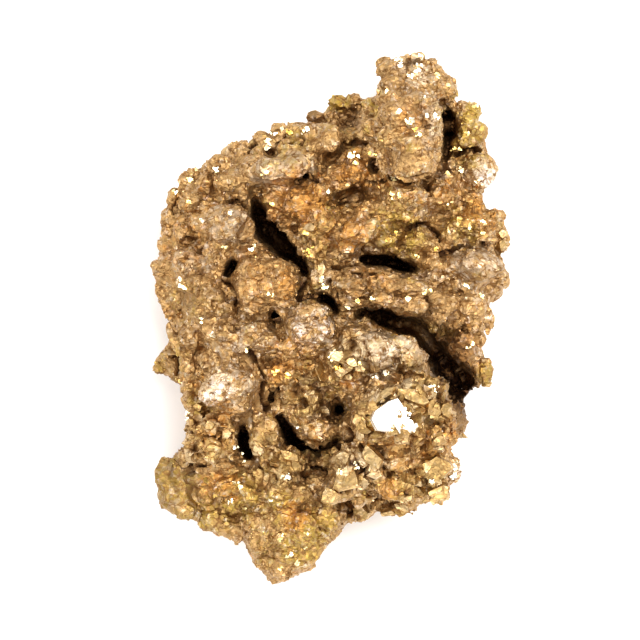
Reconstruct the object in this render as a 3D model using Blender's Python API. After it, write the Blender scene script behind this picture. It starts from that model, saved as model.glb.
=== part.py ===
"""Pyrite specimen: one cluster of grown-together nodules and flat-faced crystals.

The cluster lies on its broken-off underside, a flat face on the ground plane.
The X axis runs across it, +Y along it towards its crown, and +Z up.
The origin is on the ground, under the middle of its outline.
"""

import math
import random
from typing import NamedTuple

import bmesh
import bpy
from mathutils import Euler, Matrix, Vector, noise

# The cluster's length, in millimetres. It drives every other size: the growths below are placed for the
# drawn length, in millimetres, and all of them grow or shrink with it.
LENGTH = 85.1
DRAWN_LENGTH = 85.1
MM = 0.001 * LENGTH / DRAWN_LENGTH

# The block that the cluster fits in, as drawn.
DRAWN_WIDTH = 58.0
DRAWN_HEIGHT = 34.0

# How the surface is made: the pitch that fuses the lumps, and the number of flat facets left at the end.
FUSE_PITCH = 0.5
BLADE_PITCH = 0.4
FACETS = 9000
LUMP_SIDES = 3
NODULE_SIDES = 2
SEED = 7

# How uneven a growth is: the share of its radius that its skin wanders by, and how fast.
UNEVEN = 0.16
UNEVEN_WAVES = 1.5


class Lump(NamedTuple):
    """A rounded growth: its middle, its three half sizes, and its turn about the vertical in degrees."""

    x: float
    y: float
    z: float
    rx: float
    ry: float
    rz: float
    turn: float = 0.0


class Crystal(NamedTuple):
    """A flat-faced crystal: its middle, its half size, its habit, and its tilt and turn in degrees."""

    x: float
    y: float
    z: float
    size: float
    habit: str
    tilt: float = 0.0
    turn: float = 0.0


class Station(NamedTuple):
    """A point along a cleft: its place, half the cleft's width there, and the height of its floor."""

    x: float
    y: float
    half: float
    floor: float


# The ground mass, which the growths stand out of by a few millimetres.
GROUND_MASS = (
    Lump(10.6, 28.0, 13, 7.6, 11.5, 15),
    Lump(12.9, 35.6, 11, 5.8, 4.4, 12),
    Lump(-4.5, 21.0, 11, 17.0, 8.6, 10.5),
    Lump(-15.0, 8.0, 12, 13.0, 15.0, 12),
    Lump(2.0, 4.0, 12, 18.0, 15.0, 11.8),
    Lump(15.0, 9.0, 11, 12.6, 11.5, 12),
    Lump(21.0, 24.5, 8, 5.2, 9.5, 9.5),
    Lump(-10.0, -9.0, 12, 13.5, 13.0, 12),
    Lump(6.0, -6.0, 13, 12.5, 8.0, 12.5),
    Lump(10.2, -17.5, 13, 9.4, 12.0, 14.5),
    Lump(-8.0, -23.5, 10, 12.0, 10.0, 10.5),
    Lump(-20.0, -26.5, 6, 7.6, 6.2, 8.5),
    Lump(-6.5, -31.5, 8, 7.0, 7.0, 10.5),
    Lump(20.5, -4.0, 8, 4.0, 8.0, 9),
    Lump(0.0, 0.0, 2, 21.5, 31.0, 6),
    Lump(9.0, 14.0, 2, 15.0, 20.0, 6),
)

# Low growths round the foot, which set how the mass meets the ground.
FOOT = (
    Lump(18.0, 30.0, 3.5, 4.5, 5.0, 10),
    Lump(10.0, 34.0, 4.0, 4.6, 4.2, 11),
    Lump(-1.0, 29.0, 3.5, 5.5, 3.8, 9),
    Lump(-13.0, 23.5, 3.5, 6.0, 4.6, 10),
    Lump(-21.5, 17.0, 3.0, 4.4, 5.2, 8.5),
    Lump(-23.0, 5.0, 3.0, 4.6, 5.8, 9),
    Lump(-21.5, -7.0, 3.0, 4.0, 6.0, 9),
    Lump(-19.0, -17.0, 4.0, 4.4, 5.2, 10),
    Lump(-21.5, -26.0, 2.0, 6.0, 6.0, 8),
    Lump(-10.5, -33.5, 2.5, 5.0, 5.0, 9),
    Lump(21.2, 24.0, 3.5, 4.8, 5.0, 9),
    Lump(21.6, 15.0, 3.5, 4.8, 5.0, 10),
    Lump(23.0, 6.5, 3.5, 4.8, 5.4, 10),
    Lump(20.6, -4.0, 3.0, 4.4, 5.4, 8),
    Lump(17.2, -14.0, 3.5, 4.4, 5.4, 9.5),
    Lump(15.0, -23.5, 3.0, 5.2, 5.2, 10),
    Lump(4.0, -27.5, 3.0, 5.8, 4.4, 9.5),
)

CROWN = (
    Lump(9.5, 37.3, 20, 2.3, 2.9, 6.5, 15),
    Lump(12.8, 38.2, 21, 3.0, 3.2, 6.5),
    Lump(16.2, 37.6, 20, 2.4, 2.7, 6.5),
    Lump(17.8, 35.8, 18, 2.3, 2.8, 7.5, 25),
    Lump(14.2, 35.4, 21.5, 3.6, 3.4, 8),
    Lump(10.2, 35.2, 21, 3.6, 3.6, 8),
    Lump(7.0, 34.6, 14, 1.8, 2.0, 7),
    Lump(10.6, 31.6, 24, 4.6, 4.8, 9),
    Lump(14.6, 30.6, 23.5, 3.6, 4.8, 9.5),
    Lump(12.8, 26.4, 24.5, 5.0, 5.0, 9),
    Lump(8.2, 28.6, 20, 3.0, 4.2, 8),
    Lump(15.8, 33.0, 21, 2.6, 2.8, 8),
    Lump(4.8, 29.4, 16, 2.3, 2.8, 7),
    Lump(6.6, 32.0, 18, 2.4, 2.4, 7),
    Lump(5.4, 24.8, 19, 2.2, 2.2, 6),
)

RIGHT_COLUMN = (
    Lump(20.9, 33.0, 12, 1.8, 2.0, 7),
    Lump(22.3, 33.0, 12, 1.3, 1.6, 5.5),
    Lump(21.0, 30.4, 12, 1.7, 2.4, 7),
    Lump(22.7, 29.7, 11.5, 1.9, 2.0, 6.5),
    Lump(20.9, 27.9, 13, 1.7, 1.6, 6),
    Lump(23.2, 23.6, 15, 3.5, 3.5, 6.2),
    Lump(19.4, 24.6, 17, 1.2, 1.4, 3.4),
    Lump(20.0, 21.8, 15.5, 2.4, 2.4, 5.5),
    Lump(21.6, 19.0, 14, 2.4, 2.4, 6.5),
    Lump(17.6, 19.6, 17.5, 2.8, 2.8, 7),
    Lump(25.2, 16.4, 12.5, 2.9, 1.8, 6, -12),
    Lump(26.9, 12.4, 11, 1.6, 2.6, 6),
    Lump(21.5, 15.4, 17, 3.6, 2.6, 6.5),
    Lump(24.5, 13.2, 15, 2.6, 2.6, 6.5),
)

RIGHT_SHOULDER = (
    Lump(22.6, 8.6, 17, 4.9, 4.3, 9),
    Lump(26.2, 7.2, 14, 2.5, 3.6, 7),
    Lump(25.6, 4.2, 13, 2.5, 2.0, 6.5),
    Lump(21.8, 2.0, 17, 3.7, 4.0, 8.5),
    Lump(24.4, -0.6, 12, 1.7, 3.0, 6),
    Lump(21.0, -3.0, 14.5, 2.8, 2.8, 7),
    Lump(22.6, -5.2, 11, 1.9, 1.7, 5),
    Lump(24.0, -8.2, 9, 1.6, 3.0, 5.5),
    Lump(20.6, -15.0, 8, 1.7, 4.6, 8, 8),
)

UPPER_RIDGE = (
    Lump(0.8, 34.0, 12.5, 1.6, 1.7, 3.8),
    Lump(3.3, 34.0, 12.5, 1.9, 1.9, 4.0),
    Lump(5.6, 33.6, 11, 1.5, 1.4, 4.0),
    Lump(-2.6, 32.0, 10, 1.8, 1.6, 4.5),
    Lump(-0.6, 31.9, 11, 1.4, 1.5, 4.5),
    Lump(1.7, 31.6, 11.5, 1.5, 1.4, 4.5),
    Lump(4.4, 31.2, 12, 1.8, 1.8, 5.0),
    Lump(-1.2, 28.8, 16, 3.3, 2.9, 8.5),
    Lump(-5.0, 28.9, 15, 3.0, 2.7, 8),
    Lump(-8.2, 29.0, 13, 2.0, 2.2, 7.5),
    Lump(-11.2, 28.0, 12.5, 1.9, 1.9, 6.5),
    Lump(-14.6, 26.2, 13, 2.3, 1.9, 7),
    Lump(-18.2, 23.9, 13, 2.9, 2.3, 7.5),
    Lump(-8.0, 23.6, 21, 5.4, 2.5, 5.0, 20),
    Lump(-3.4, 25.4, 19, 2.6, 2.6, 5.5),
    Lump(-11.5, 24.4, 17, 3.4, 2.6, 7),
    Lump(2.6, 28.0, 15, 2.4, 2.6, 7),
    Lump(-15.0, 21.6, 18, 3.4, 3.2, 7),
    Lump(6.2, 26.4, 17, 1.6, 1.9, 6),
)

LEFT_SIDE = (
    Lump(-21.6, 22.0, 10.5, 2.6, 2.5, 7.5),
    Lump(-24.4, 19.3, 9, 1.8, 2.2, 6),
    Lump(-20.6, 18.8, 15, 3.2, 3.1, 7),
    Lump(-25.2, 15.6, 9.5, 2.2, 2.4, 7),
    Lump(-22.8, 14.4, 13.5, 3.2, 3.0, 7.5),
    Lump(-25.4, 11.8, 11, 2.3, 2.6, 7),
    Lump(-16.2, 14.6, 20, 4.4, 4.2, 7.5),
    Lump(-22.4, 8.8, 16, 3.7, 3.5, 7.5),
    Lump(-26.6, 8.0, 10, 2.3, 2.9, 7),
    Lump(-18.2, 9.0, 18, 2.8, 2.8, 7),
    Lump(-25.9, 1.0, 8.5, 1.2, 5.4, 8, 18),
    Lump(-26.8, 5.0, 9, 1.5, 2.4, 7),
    Lump(-19.4, 2.4, 17.5, 3.8, 4.2, 8),
    Lump(-22.0, -2.6, 14, 3.6, 4.4, 8.5),
    Lump(-16.6, -3.2, 18, 4.0, 4.6, 8),
    Lump(-21.0, -8.4, 13.5, 3.2, 3.2, 8),
    Lump(-26.9, -7.3, 6.5, 1.9, 2.0, 3.6),
    Lump(-25.2, -5.2, 7, 2.0, 2.0, 4.5),
    Lump(-24.4, -8.4, 7, 2.1, 1.9, 5),
)

MIDDLE = (
    Lump(-10.2, 5.6, 21.5, 6.0, 5.4, 8.5),
    Lump(-6.0, 4.2, 19.5, 2.0, 3.6, 7),
    Lump(-6.2, 18.2, 17.5, 4.1, 3.2, 7.5),
    Lump(-1.6, 20.8, 18.5, 3.6, 3.1, 7.5),
    Lump(3.4, 23.4, 18.5, 3.3, 3.1, 7.5),
    Lump(7.0, 21.6, 18, 2.4, 2.6, 6.5),
    Lump(-1.6, 15.6, 19, 4.2, 3.8, 8),
    Lump(-2.8, 11.2, 17, 2.6, 3.2, 8),
    Lump(4.6, 14.2, 21, 3.0, 5.2, 7.5, -28),
    Lump(2.2, 11.4, 18.5, 3.0, 2.4, 7),
    Lump(-1.2, 6.8, 17, 2.4, 3.1, 7.5),
    Lump(9.6, 17.4, 19, 3.9, 3.4, 8),
    Lump(13.6, 18.6, 19, 3.2, 2.8, 7.5),
    Lump(8.6, 12.6, 17.5, 3.3, 2.8, 7),
    Lump(13.8, 12.4, 18, 3.3, 3.0, 7.5),
    Lump(13.8, 15.8, 18, 3.3, 2.0, 6.5),
    Lump(18.4, 12.6, 16.5, 3.2, 3.4, 8),
    Lump(17.0, 8.2, 17.5, 3.0, 2.6, 7.5),
)

CROSS_BAR = (
    Lump(3.4, 5.6, 21.5, 3.8, 2.8, 7.5, -8),
    Lump(8.0, 5.2, 22, 4.2, 3.0, 7.8, -9),
    Lump(12.4, 4.4, 21.5, 4.0, 3.0, 7.5, -12),
    Lump(16.4, 2.6, 19, 3.4, 3.4, 7.5),
)

LOWER_MIDDLE = (
    Lump(-3.6, -1.4, 21.5, 4.8, 4.4, 8.5),
    Lump(-11.4, -3.2, 19, 4.2, 3.6, 8),
    Lump(-6.6, -5.0, 19, 3.2, 3.0, 7.5),
    Lump(4.6, -3.2, 21.5, 3.6, 3.0, 8, -15),
    Lump(9.6, -4.6, 22.5, 4.8, 3.6, 8.2, -14),
    Lump(13.2, -6.2, 20.5, 2.8, 3.0, 8),
    Lump(-4.8, -8.6, 18, 4.2, 2.6, 6.5),
    Lump(2.0, -9.0, 19.5, 3.6, 2.8, 7),
    Lump(-3.4, -13.8, 15.5, 4.0, 3.0, 7),
    Lump(-2.3, -17.4, 15.5, 3.6, 2.4, 6.5),
    Lump(-10.4, -18.0, 18, 2.7, 4.6, 8, 8),
    Lump(-7.4, -23.4, 16, 4.0, 2.4, 7.5),
)

LOWER_LEFT = (
    Lump(-15.6, -10.8, 20, 5.0, 5.2, 9.5),
    Lump(-21.0, -13.2, 13.5, 3.0, 3.2, 8),
    Lump(-18.8, -18.6, 17, 4.6, 4.4, 7.5),
    Lump(-24.0, -26.2, 7.5, 4.5, 6.0, 9, -10),
    Lump(-18.6, -30.4, 7, 4.4, 4.2, 8.5),
    Lump(-23.2, -30.2, 5.5, 2.6, 2.2, 6),
    Lump(-14.6, -33.2, 7, 2.8, 2.6, 7.5),
    Lump(-17.6, -33.0, 6, 3.0, 2.4, 6),
    Lump(-17.8, -25.0, 11.5, 4.4, 3.0, 7.5),
    Lump(-12.4, -27.2, 13.5, 4.2, 3.6, 7.5),
)

TOE = (
    Lump(-7.4, -27.6, 15.5, 5.2, 3.8, 7.5),
    Lump(-10.2, -32.8, 12, 3.4, 4.6, 8.5, 18),
    Lump(-5.4, -33.0, 13, 4.2, 4.2, 8.5),
    Lump(-1.4, -30.6, 13, 3.4, 3.2, 7.5, 30),
    Lump(-0.6, -26.8, 14.5, 3.2, 3.0, 8),
    Lump(1.6, -31.2, 9, 2.2, 2.6, 6.5),
)

CRYSTAL_BANK = (
    Lump(10.6, -14.6, 22, 7.8, 6.4, 10),
    Lump(15.8, -17.0, 19, 4.2, 6.2, 9.5),
    Lump(16.6, -10.8, 19, 2.7, 3.0, 8),
    Lump(5.4, -12.8, 20, 3.2, 3.6, 8),
    Lump(4.2, -17.8, 17.5, 3.0, 3.6, 8),
    Lump(16.4, -23.2, 15.5, 4.4, 4.8, 9.5),
    Lump(10.2, -23.8, 17, 5.8, 4.8, 9),
    Lump(3.4, -24.0, 18, 4.2, 4.6, 8.5),
    Lump(11.0, -28.2, 10.5, 4.4, 3.2, 8),
    Lump(16.2, -26.8, 10, 3.2, 2.8, 8.5),
    Lump(4.8, -31.0, 9.5, 1.9, 1.8, 5),
    Lump(7.4, -30.0, 8, 1.9, 1.8, 5),
)

GROWTHS = (
    CROWN, RIGHT_COLUMN, RIGHT_SHOULDER, UPPER_RIDGE, LEFT_SIDE, MIDDLE,
    CROSS_BAR, LOWER_MIDDLE, LOWER_LEFT, TOE, CRYSTAL_BANK,
)

# Clefts that part the growths, each a run of stations from one end to the other.
CLEFTS = {
    "great_cleft": (
        Station(-12.1, 20.6, 0.4, 15), Station(-12.1, 18.4, 0.6, 11), Station(-11.0, 16.0, 1.3, 7),
        Station(-9.3, 13.6, 1.75, 6), Station(-7.0, 11.6, 1.75, 6), Station(-5.0, 9.6, 0.9, 9),
        Station(-4.1, 7.6, 0.65, 11), Station(-4.2, 5.2, 0.5, 12),
    ),
    "shell_cleft": (
        Station(-4.6, 3.2, 0.5, 12), Station(-2.9, 3.8, 0.55, 11), Station(-0.8, 3.4, 0.6, 11),
        Station(0.8, 2.1, 0.6, 12), Station(1.4, -0.4, 0.4, 15),
    ),
    "upper_bar_cleft": (
        Station(3.8, 9.4, 0.45, 12), Station(6.0, 9.5, 0.8, 9), Station(9.6, 9.1, 0.9, 7),
        Station(12.4, 8.3, 0.75, 8), Station(14.8, 7.2, 0.45, 12), Station(18.0, 5.2, 0.4, 15),
    ),
    "lower_bar_cleft": (
        Station(3.4, 1.1, 0.4, 14), Station(5.4, 0.8, 0.85, 8), Station(8.0, 0.5, 1.35, 6),
        Station(11.2, -0.8, 1.2, 6), Station(14.2, -1.7, 1.5, 5), Station(16.2, -3.6, 1.8, 4),
        Station(17.7, -6.2, 1.9, 4), Station(19.5, -8.9, 2.2, 4), Station(21.2, -10.9, 1.8, 5),
    ),
    "drum_cleft": (
        Station(-14.4, 9.7, 0.45, 14), Station(-15.4, 8.6, 0.75, 11), Station(-16.4, 7.0, 0.7, 11),
        Station(-16.2, 4.9, 0.4, 16), Station(-14.8, 2.2, 0.4, 17),
    ),
    "notch_cleft": (
        Station(-9.7, 2.4, 0.4, 15), Station(-9.2, 0.8, 0.75, 11), Station(-8.3, -0.8, 0.5, 14),
        Station(-7.4, -2.4, 0.4, 17),
    ),
    "crown_cleft": (
        Station(17.2, 34.5, 0.45, 13), Station(18.5, 32.9, 0.95, 7), Station(19.0, 30.4, 0.85, 7),
        Station(18.6, 27.4, 0.65, 8), Station(18.1, 25.0, 0.5, 11), Station(17.0, 22.8, 0.4, 14),
    ),
    "basin_cleft": (
        Station(-8.6, -10.9, 0.5, 13), Station(-9.6, -12.6, 0.6, 12), Station(-8.6, -14.9, 0.6, 11),
        Station(-7.1, -17.2, 0.75, 8), Station(-6.0, -19.5, 1.05, 6), Station(-3.2, -20.9, 1.0, 6),
        Station(-0.3, -20.5, 0.6, 8), Station(2.6, -19.0, 0.45, 11),
    ),
    "side_slot": (
        Station(-14.0, -16.0, 0.5, 11), Station(-13.9, -18.4, 0.9, 7), Station(-13.2, -20.9, 1.0, 7),
        Station(-12.7, -22.7, 0.5, 11),
    ),
    "bank_cleft": (
        Station(-3.0, -23.4, 0.45, 13), Station(-1.6, -23.8, 0.7, 12), Station(-0.2, -24.6, 0.4, 15),
    ),
    "ridge_cleft": (
        Station(-5.6, 21.4, 0.4, 16), Station(-4.2, 22.9, 0.6, 14), Station(-2.0, 21.9, 0.5, 14),
    ),
    "left_cleft": (
        Station(-12.6, -5.6, 0.4, 17), Station(-11.4, -7.6, 0.45, 15), Station(-10.6, -9.4, 0.4, 15),
    ),
    "bank_seam": (
        Station(14.9, -8.2, 0.4, 13), Station(13.2, -9.2, 0.4, 17), Station(10.2, -8.9, 0.4, 18),
    ),
    "shoulder_seam": (
        Station(17.4, 10.4, 0.4, 15), Station(19.6, 12.0, 0.5, 14), Station(22.4, 12.4, 0.4, 14),
    ),
    "column_seam": (
        Station(20.4, 26.2, 0.4, 12), Station(22.4, 27.0, 0.5, 10), Station(24.8, 26.8, 0.4, 9),
    ),
}

# Round pits: the middle, half the width, and the height of the floor.
PITS = (
    Station(1.4, -14.3, 1.25, 7),
    Station(-12.8, 27.2, 0.9, 9),
    Station(-9.4, 26.3, 0.8, 11),
    Station(6.7, 23.9, 0.7, 11),
    Station(-24.2, 3.8, 1.1, 10),
    Station(11.8, 14.4, 0.6, 13),
    Station(3.0, 30.2, 0.8, 10),
)

# Crystals big enough to show flat faces.
CRYSTALS = (
    Crystal(10.2, -15.0, 30.0, 3.5, "tablet", 5, 20),
    Crystal(7.4, -17.4, 28.6, 2.5, "octahedron", 12, 50),
    Crystal(13.6, -17.2, 28.4, 2.7, "tablet", 24, 100),
    Crystal(14.4, -12.6, 26.6, 2.6, "tablet", 30, 230),
    Crystal(5.8, -12.4, 26.2, 2.5, "octahedron", 15, 35),
    Crystal(17.6, -15.2, 24.6, 2.3, "cube", 28, 15),
    Crystal(6.6, -22.2, 25.4, 2.9, "octahedron", 25, 30),
    Crystal(2.2, -21.6, 25.0, 2.3, "tablet", 18, 65),
    Crystal(3.4, -24.8, 25.4, 2.4, "tablet", 16, 190),
    Crystal(0.4, -27.2, 21.6, 2.1, "cube", 20, 10),
    Crystal(16.4, -23.2, 24.0, 2.7, "tablet", 8, 300),
    Crystal(18.2, -24.2, 20.0, 1.9, "cube", 42, 25),
    Crystal(11.0, -28.8, 16.5, 2.0, "octahedron", 40, 80),
    Crystal(14.0, -27.4, 18.6, 2.0, "tablet", 35, 55),
    Crystal(10.2, -26.2, 24.5, 1.7, "cube", 25, 45),
    Crystal(10.6, -21.0, 26.4, 2.0, "octahedron", 18, 10),
    Crystal(1.4, -5.9, 26.4, 1.9, "tablet", 10, 8),
    Crystal(3.9, -7.2, 26.0, 1.8, "tablet", 16, 130),
    Crystal(-6.6, -8.4, 23.4, 1.6, "octahedron", 20, 20),
    Crystal(-1.2, 6.4, 23.6, 1.7, "cube", 30, 40),
    Crystal(0.6, 8.4, 23.6, 1.6, "octahedron", 30, 10),
    Crystal(-2.6, 9.0, 23.8, 1.5, "octahedron", 15, 70),
    Crystal(10.0, 19.4, 26.4, 1.6, "tablet", 15, 5),
    Crystal(3.7, 26.0, 22.4, 1.5, "cube", 32, 30),
    Crystal(-9.8, 27.7, 18.6, 1.2, "cube", 20, 10),
    Crystal(13.4, 37.0, 27.4, 1.8, "tablet", 12, 30),
    Crystal(9.9, 37.4, 25.6, 1.7, "octahedron", 22, 10),
    Crystal(13.2, 39.2, 24.0, 1.8, "cube", 35, 40),
    Crystal(11.2, 32.0, 32.0, 1.9, "tablet", 10, 50),
    Crystal(-21.8, -16.4, 20.4, 1.8, "octahedron", 30, 20),
    Crystal(-19.4, -20.4, 23.4, 2.1, "octahedron", 12, 60),
    Crystal(-17.8, -11.8, 28.0, 2.1, "tablet", 12, 25),
    Crystal(-14.8, -25.8, 18.8, 1.5, "cube", 18, 40),
    Crystal(-7.0, -24.6, 22.6, 1.6, "octahedron", 20, 28),
    Crystal(-7.6, -34.0, 20.0, 1.7, "tablet", 22, 15),
    Crystal(-3.4, -32.6, 20.6, 1.7, "octahedron", 20, 65),
    Crystal(-22.2, -19.6, 15.0, 1.5, "cube", 40, 20),
    Crystal(27.2, 13.4, 15.6, 1.4, "cube", 25, 10),
    Crystal(17.8, 34.8, 24.2, 1.6, "cube", 35, 60),
)

# The toe ends in a wedge with flat sides: its corners at the foot and along its back.
TOE_CORNERS = (
    (-9.2, -43.2, 2.5), (-2.8, -40.2, 3.0), (-0.8, -36.4, 2.0), (-12.9, -39.0, 3.0), (-13.6, -35.4, 1.5),
    (-9.2, -43.4, 8.5), (-2.6, -40.4, 11.5), (0.2, -35.4, 14.5), (-13.2, -38.8, 9.5), (-14.4, -35.0, 11.0),
    (-8.6, -40.8, 14.0), (-4.2, -37.2, 18.5), (-10.6, -36.2, 17.5), (-6.0, -29.0, 17.0), (-11.5, -29.0, 14.0),
)

# The foot of the walls, walked round the outline, and the growths that stud the walls up from it.
WALL_PATH = (
    (-26.4, 15.0), (-24.4, 20.4), (-19.6, 24.2), (-13.6, 26.8), (-8.0, 29.2), (-3.0, 31.4), (2.0, 33.6),
    (7.6, 35.4), (9.4, 39.4), (13.8, 40.6), (17.6, 38.0), (20.4, 34.0), (23.0, 30.4), (24.6, 25.6),
    (23.2, 20.8), (25.4, 15.6), (27.2, 11.0), (26.8, 6.0), (24.6, 1.0), (22.4, -4.4), (23.2, -8.6),
    (20.4, -13.4), (19.4, -19.4), (19.4, -25.6), (14.6, -28.6), (8.2, -30.2), (2.4, -31.2), (-1.6, -36.0),
    (-4.6, -39.4), (-9.0, -41.0), (-11.6, -36.8), (-14.6, -34.2), (-20.4, -32.6), (-25.4, -29.6),
    (-27.0, -25.6), (-23.8, -21.0), (-21.8, -16.0), (-22.6, -11.0), (-26.6, -7.6), (-24.6, -1.6),
    (-26.6, 4.0), (-27.4, 8.6),
)
WALL_GROWTHS = 150
WALL_SMALL = 1.5
WALL_LARGE = 3.4
WALL_TOP = 19.0
WALL_SQUASH = 0.8


class Crop(NamedTuple):
    """A crop of nodules on a growth: how many for each square millimetre, and their half sizes."""

    density: float
    small: float
    large: float


FINE_CROP = Crop(0.045, 0.75, 1.7)
NODULE_SKEW = 1.6
NODULE_SINK = 0.35
LOWEST_NODULE = -0.35
CUBE_SHARE = 0.5

# How the clefts and pits open: the height they start from, and the spread of their walls.
MOUTH = DRAWN_HEIGHT + 6
MOUTH_FLARE = 1.25
RAGGED_STEP = 1.1
RAGGED_SWAY = 0.5
RAGGED_WAVES = 1.7
RAGGED_SHIFTS = (Vector((31.7, 5.3, 0)), Vector((-12.9, 47.1, 0)))
FLOOR_RISE = 5
FLOOR_SHARE = 0.45


def clear_scene() -> None:
    """Removes whatever the scene holds."""
    for obj in list(bpy.data.objects):
        bpy.data.objects.remove(obj)


def hull_mesh(name: str, corners: list) -> bpy.types.Mesh:
    """The convex solid that the corners span.

    Args:
        name: the mesh's name.
        corners: its corners, in any order.

    Returns:
        A closed mesh whose faces look outward.
    """
    shape = bmesh.new()
    points = [shape.verts.new(corner) for corner in corners]
    bmesh.ops.convex_hull(shape, input=points)
    inside = [v for v in shape.verts if not v.link_faces]
    bmesh.ops.delete(shape, geom=inside, context="VERTS")
    bmesh.ops.recalc_face_normals(shape, faces=shape.faces)
    mesh = bpy.data.meshes.new(name)
    shape.to_mesh(mesh)
    shape.free()
    return mesh


def sphere_mesh(sides: int) -> bpy.types.Mesh:
    """A faceted sphere of unit radius, split this many times."""
    shape = bmesh.new()
    bmesh.ops.create_icosphere(shape, subdivisions=sides, radius=1.0)
    mesh = bpy.data.meshes.new("sphere")
    shape.to_mesh(mesh)
    shape.free()
    return mesh


def habit_corners(habit: str) -> list:
    """The corners of a crystal habit of unit half size.

    Args:
        habit: cube, octahedron, tablet or pyritohedron.

    Returns:
        The corners, as vectors.
    """
    signs = (-1, 1)
    if habit == "cube":
        return [Vector((x, y, z)) for x in signs for y in signs for z in signs]
    if habit == "octahedron":
        reach = 1.45
        return [Vector([reach * s if k == axis else 0 for k in range(3)]) for axis in range(3) for s in signs]
    if habit == "tablet":
        table = ((-0.9, -0.3), (-0.25, -0.85), (0.6, -0.7), (0.95, 0.1), (0.35, 0.8), (-0.6, 0.65))
        base = [Vector((x * 1.3 - 0.1, y * 1.3 + 0.1, -0.9)) for x, y in table]
        return base + [Vector((x, y, 0.7)) for x, y in table]
    # A pyritohedron has a cube's corners pulled in and a ridge along the middle of each side.
    pulled, ridge, rise = 0.78, 0.42, 1.12
    corners = [Vector((x, y, z)) * pulled for x in signs for y in signs for z in signs]
    for a in signs:
        for b in signs:
            corners += [Vector((0, a * ridge, b * rise)), Vector((a * ridge, b * rise, 0))]
            corners.append(Vector((b * rise, 0, a * ridge)))
    return corners


class Cluster:
    """Growths and crystals gathered into one mesh, each placed from a unit form."""

    def __init__(self) -> None:
        self.points = []
        self.faces = []
        self.forms = {"lump": sphere_mesh(LUMP_SIDES), "nodule": sphere_mesh(NODULE_SIDES)}
        for habit in ("cube", "octahedron", "tablet", "pyritohedron"):
            self.forms[habit] = hull_mesh(habit, habit_corners(habit))

    def place(self, form: bpy.types.Mesh, matrix: Matrix, uneven: float = 0.0) -> None:
        """Adds a form, placed by the matrix, its points pushed in or out by up to the uneven share."""
        first = len(self.points)
        drift = matrix.translation / MM
        for vertex in form.vertices:
            push = noise.noise(vertex.co * UNEVEN_WAVES + drift)
            self.points.append(matrix @ (vertex.co * (1 + uneven * push)))
        self.faces += [[first + k for k in face.vertices] for face in form.polygons]

    def add_lump(self, lump: Lump) -> None:
        """Adds a rounded, slightly uneven growth."""
        matrix = (
            Matrix.Translation(Vector((lump.x, lump.y, lump.z)) * MM)
            @ Matrix.Rotation(math.radians(lump.turn), 4, "Z")
            @ Matrix.Diagonal((lump.rx * MM, lump.ry * MM, lump.rz * MM, 1))
        )
        self.place(self.forms["lump"], matrix, UNEVEN)

    def add_crystal(self, crystal: Crystal) -> None:
        """Adds a flat-faced crystal."""
        matrix = (
            Matrix.Translation(Vector((crystal.x, crystal.y, crystal.z)) * MM)
            @ Euler((math.radians(crystal.tilt), 0, math.radians(crystal.turn))).to_matrix().to_4x4()
            @ Matrix.Scale(crystal.size * MM, 4)
        )
        self.place(self.forms[crystal.habit], matrix)

    def add_nodules(self, lump: Lump, crop: Crop, dice: random.Random) -> None:
        """Adds the small nodules and cubes that stand out of a growth's skin."""
        mean = (lump.rx + lump.ry + lump.rz) / 3
        count = round(4 * math.pi * mean * mean * crop.density)
        spin = Matrix.Rotation(math.radians(lump.turn), 3, "Z")
        for _ in range(count):
            way = Vector([dice.gauss(0, 1) for _ in range(3)]).normalized()
            if way.z < LOWEST_NODULE:
                way.z = -way.z
            size = crop.small + (crop.large - crop.small) * dice.random() ** NODULE_SKEW
            size = min(size, 0.5 * min(lump.rx, lump.ry))
            skin = Vector((way.x * lump.rx, way.y * lump.ry, way.z * lump.rz))
            middle = Vector((lump.x, lump.y, lump.z)) + spin @ (skin - way * size * (1 - NODULE_SINK))
            if dice.random() < CUBE_SHARE:
                tilt, turn = dice.uniform(0, 360), dice.uniform(0, 360)
                self.add_crystal(Crystal(*middle, size * 0.85, "cube", tilt, turn))
            else:
                matrix = Matrix.Translation(middle * MM) @ Matrix.Scale(size * MM, 4)
                self.place(self.forms["nodule"], matrix, UNEVEN)

    def to_object(self, name: str) -> bpy.types.Object:
        """The gathered mesh, as an object in the scene."""
        mesh = bpy.data.meshes.new(name)
        mesh.from_pydata(self.points, [], self.faces)
        return link(bpy.data.objects.new(name, mesh))


def link(obj: bpy.types.Object) -> bpy.types.Object:
    """Puts an object in the scene."""
    bpy.context.scene.collection.objects.link(obj)
    return obj


def mesh_object(name: str, shape: bmesh.types.BMesh) -> bpy.types.Object:
    """Turns a built shape into an object in the scene."""
    mesh = bpy.data.meshes.new(name)
    shape.to_mesh(mesh)
    shape.free()
    return link(bpy.data.objects.new(name, mesh))


def as_cutter(obj: bpy.types.Object) -> bpy.types.Object:
    """Marks a helper that only cuts."""
    obj.hide_render = True
    obj.display_type = "WIRE"
    return obj


def ragged(stations: tuple) -> list:
    """More stations along a cleft, wandering a little to each side, so that its lips are uneven."""
    filled = [stations[0]]
    for start, end in zip(stations, stations[1:]):
        steps = max(1, round(math.hypot(end.x - start.x, end.y - start.y) / RAGGED_STEP))
        for k in range(1, steps + 1):
            share = k / steps
            x, y, half, floor = (a + (b - a) * share for a, b in zip(start, end))
            seat = Vector((x, y, floor))
            sway_x, sway_y = (RAGGED_SWAY * half * noise.noise(seat + shift) for shift in RAGGED_SHIFTS)
            half *= 1 + RAGGED_SWAY * noise.noise(seat * RAGGED_WAVES)
            filled.append(Station(x + sway_x, y + sway_y, half, floor))
    return filled


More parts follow.
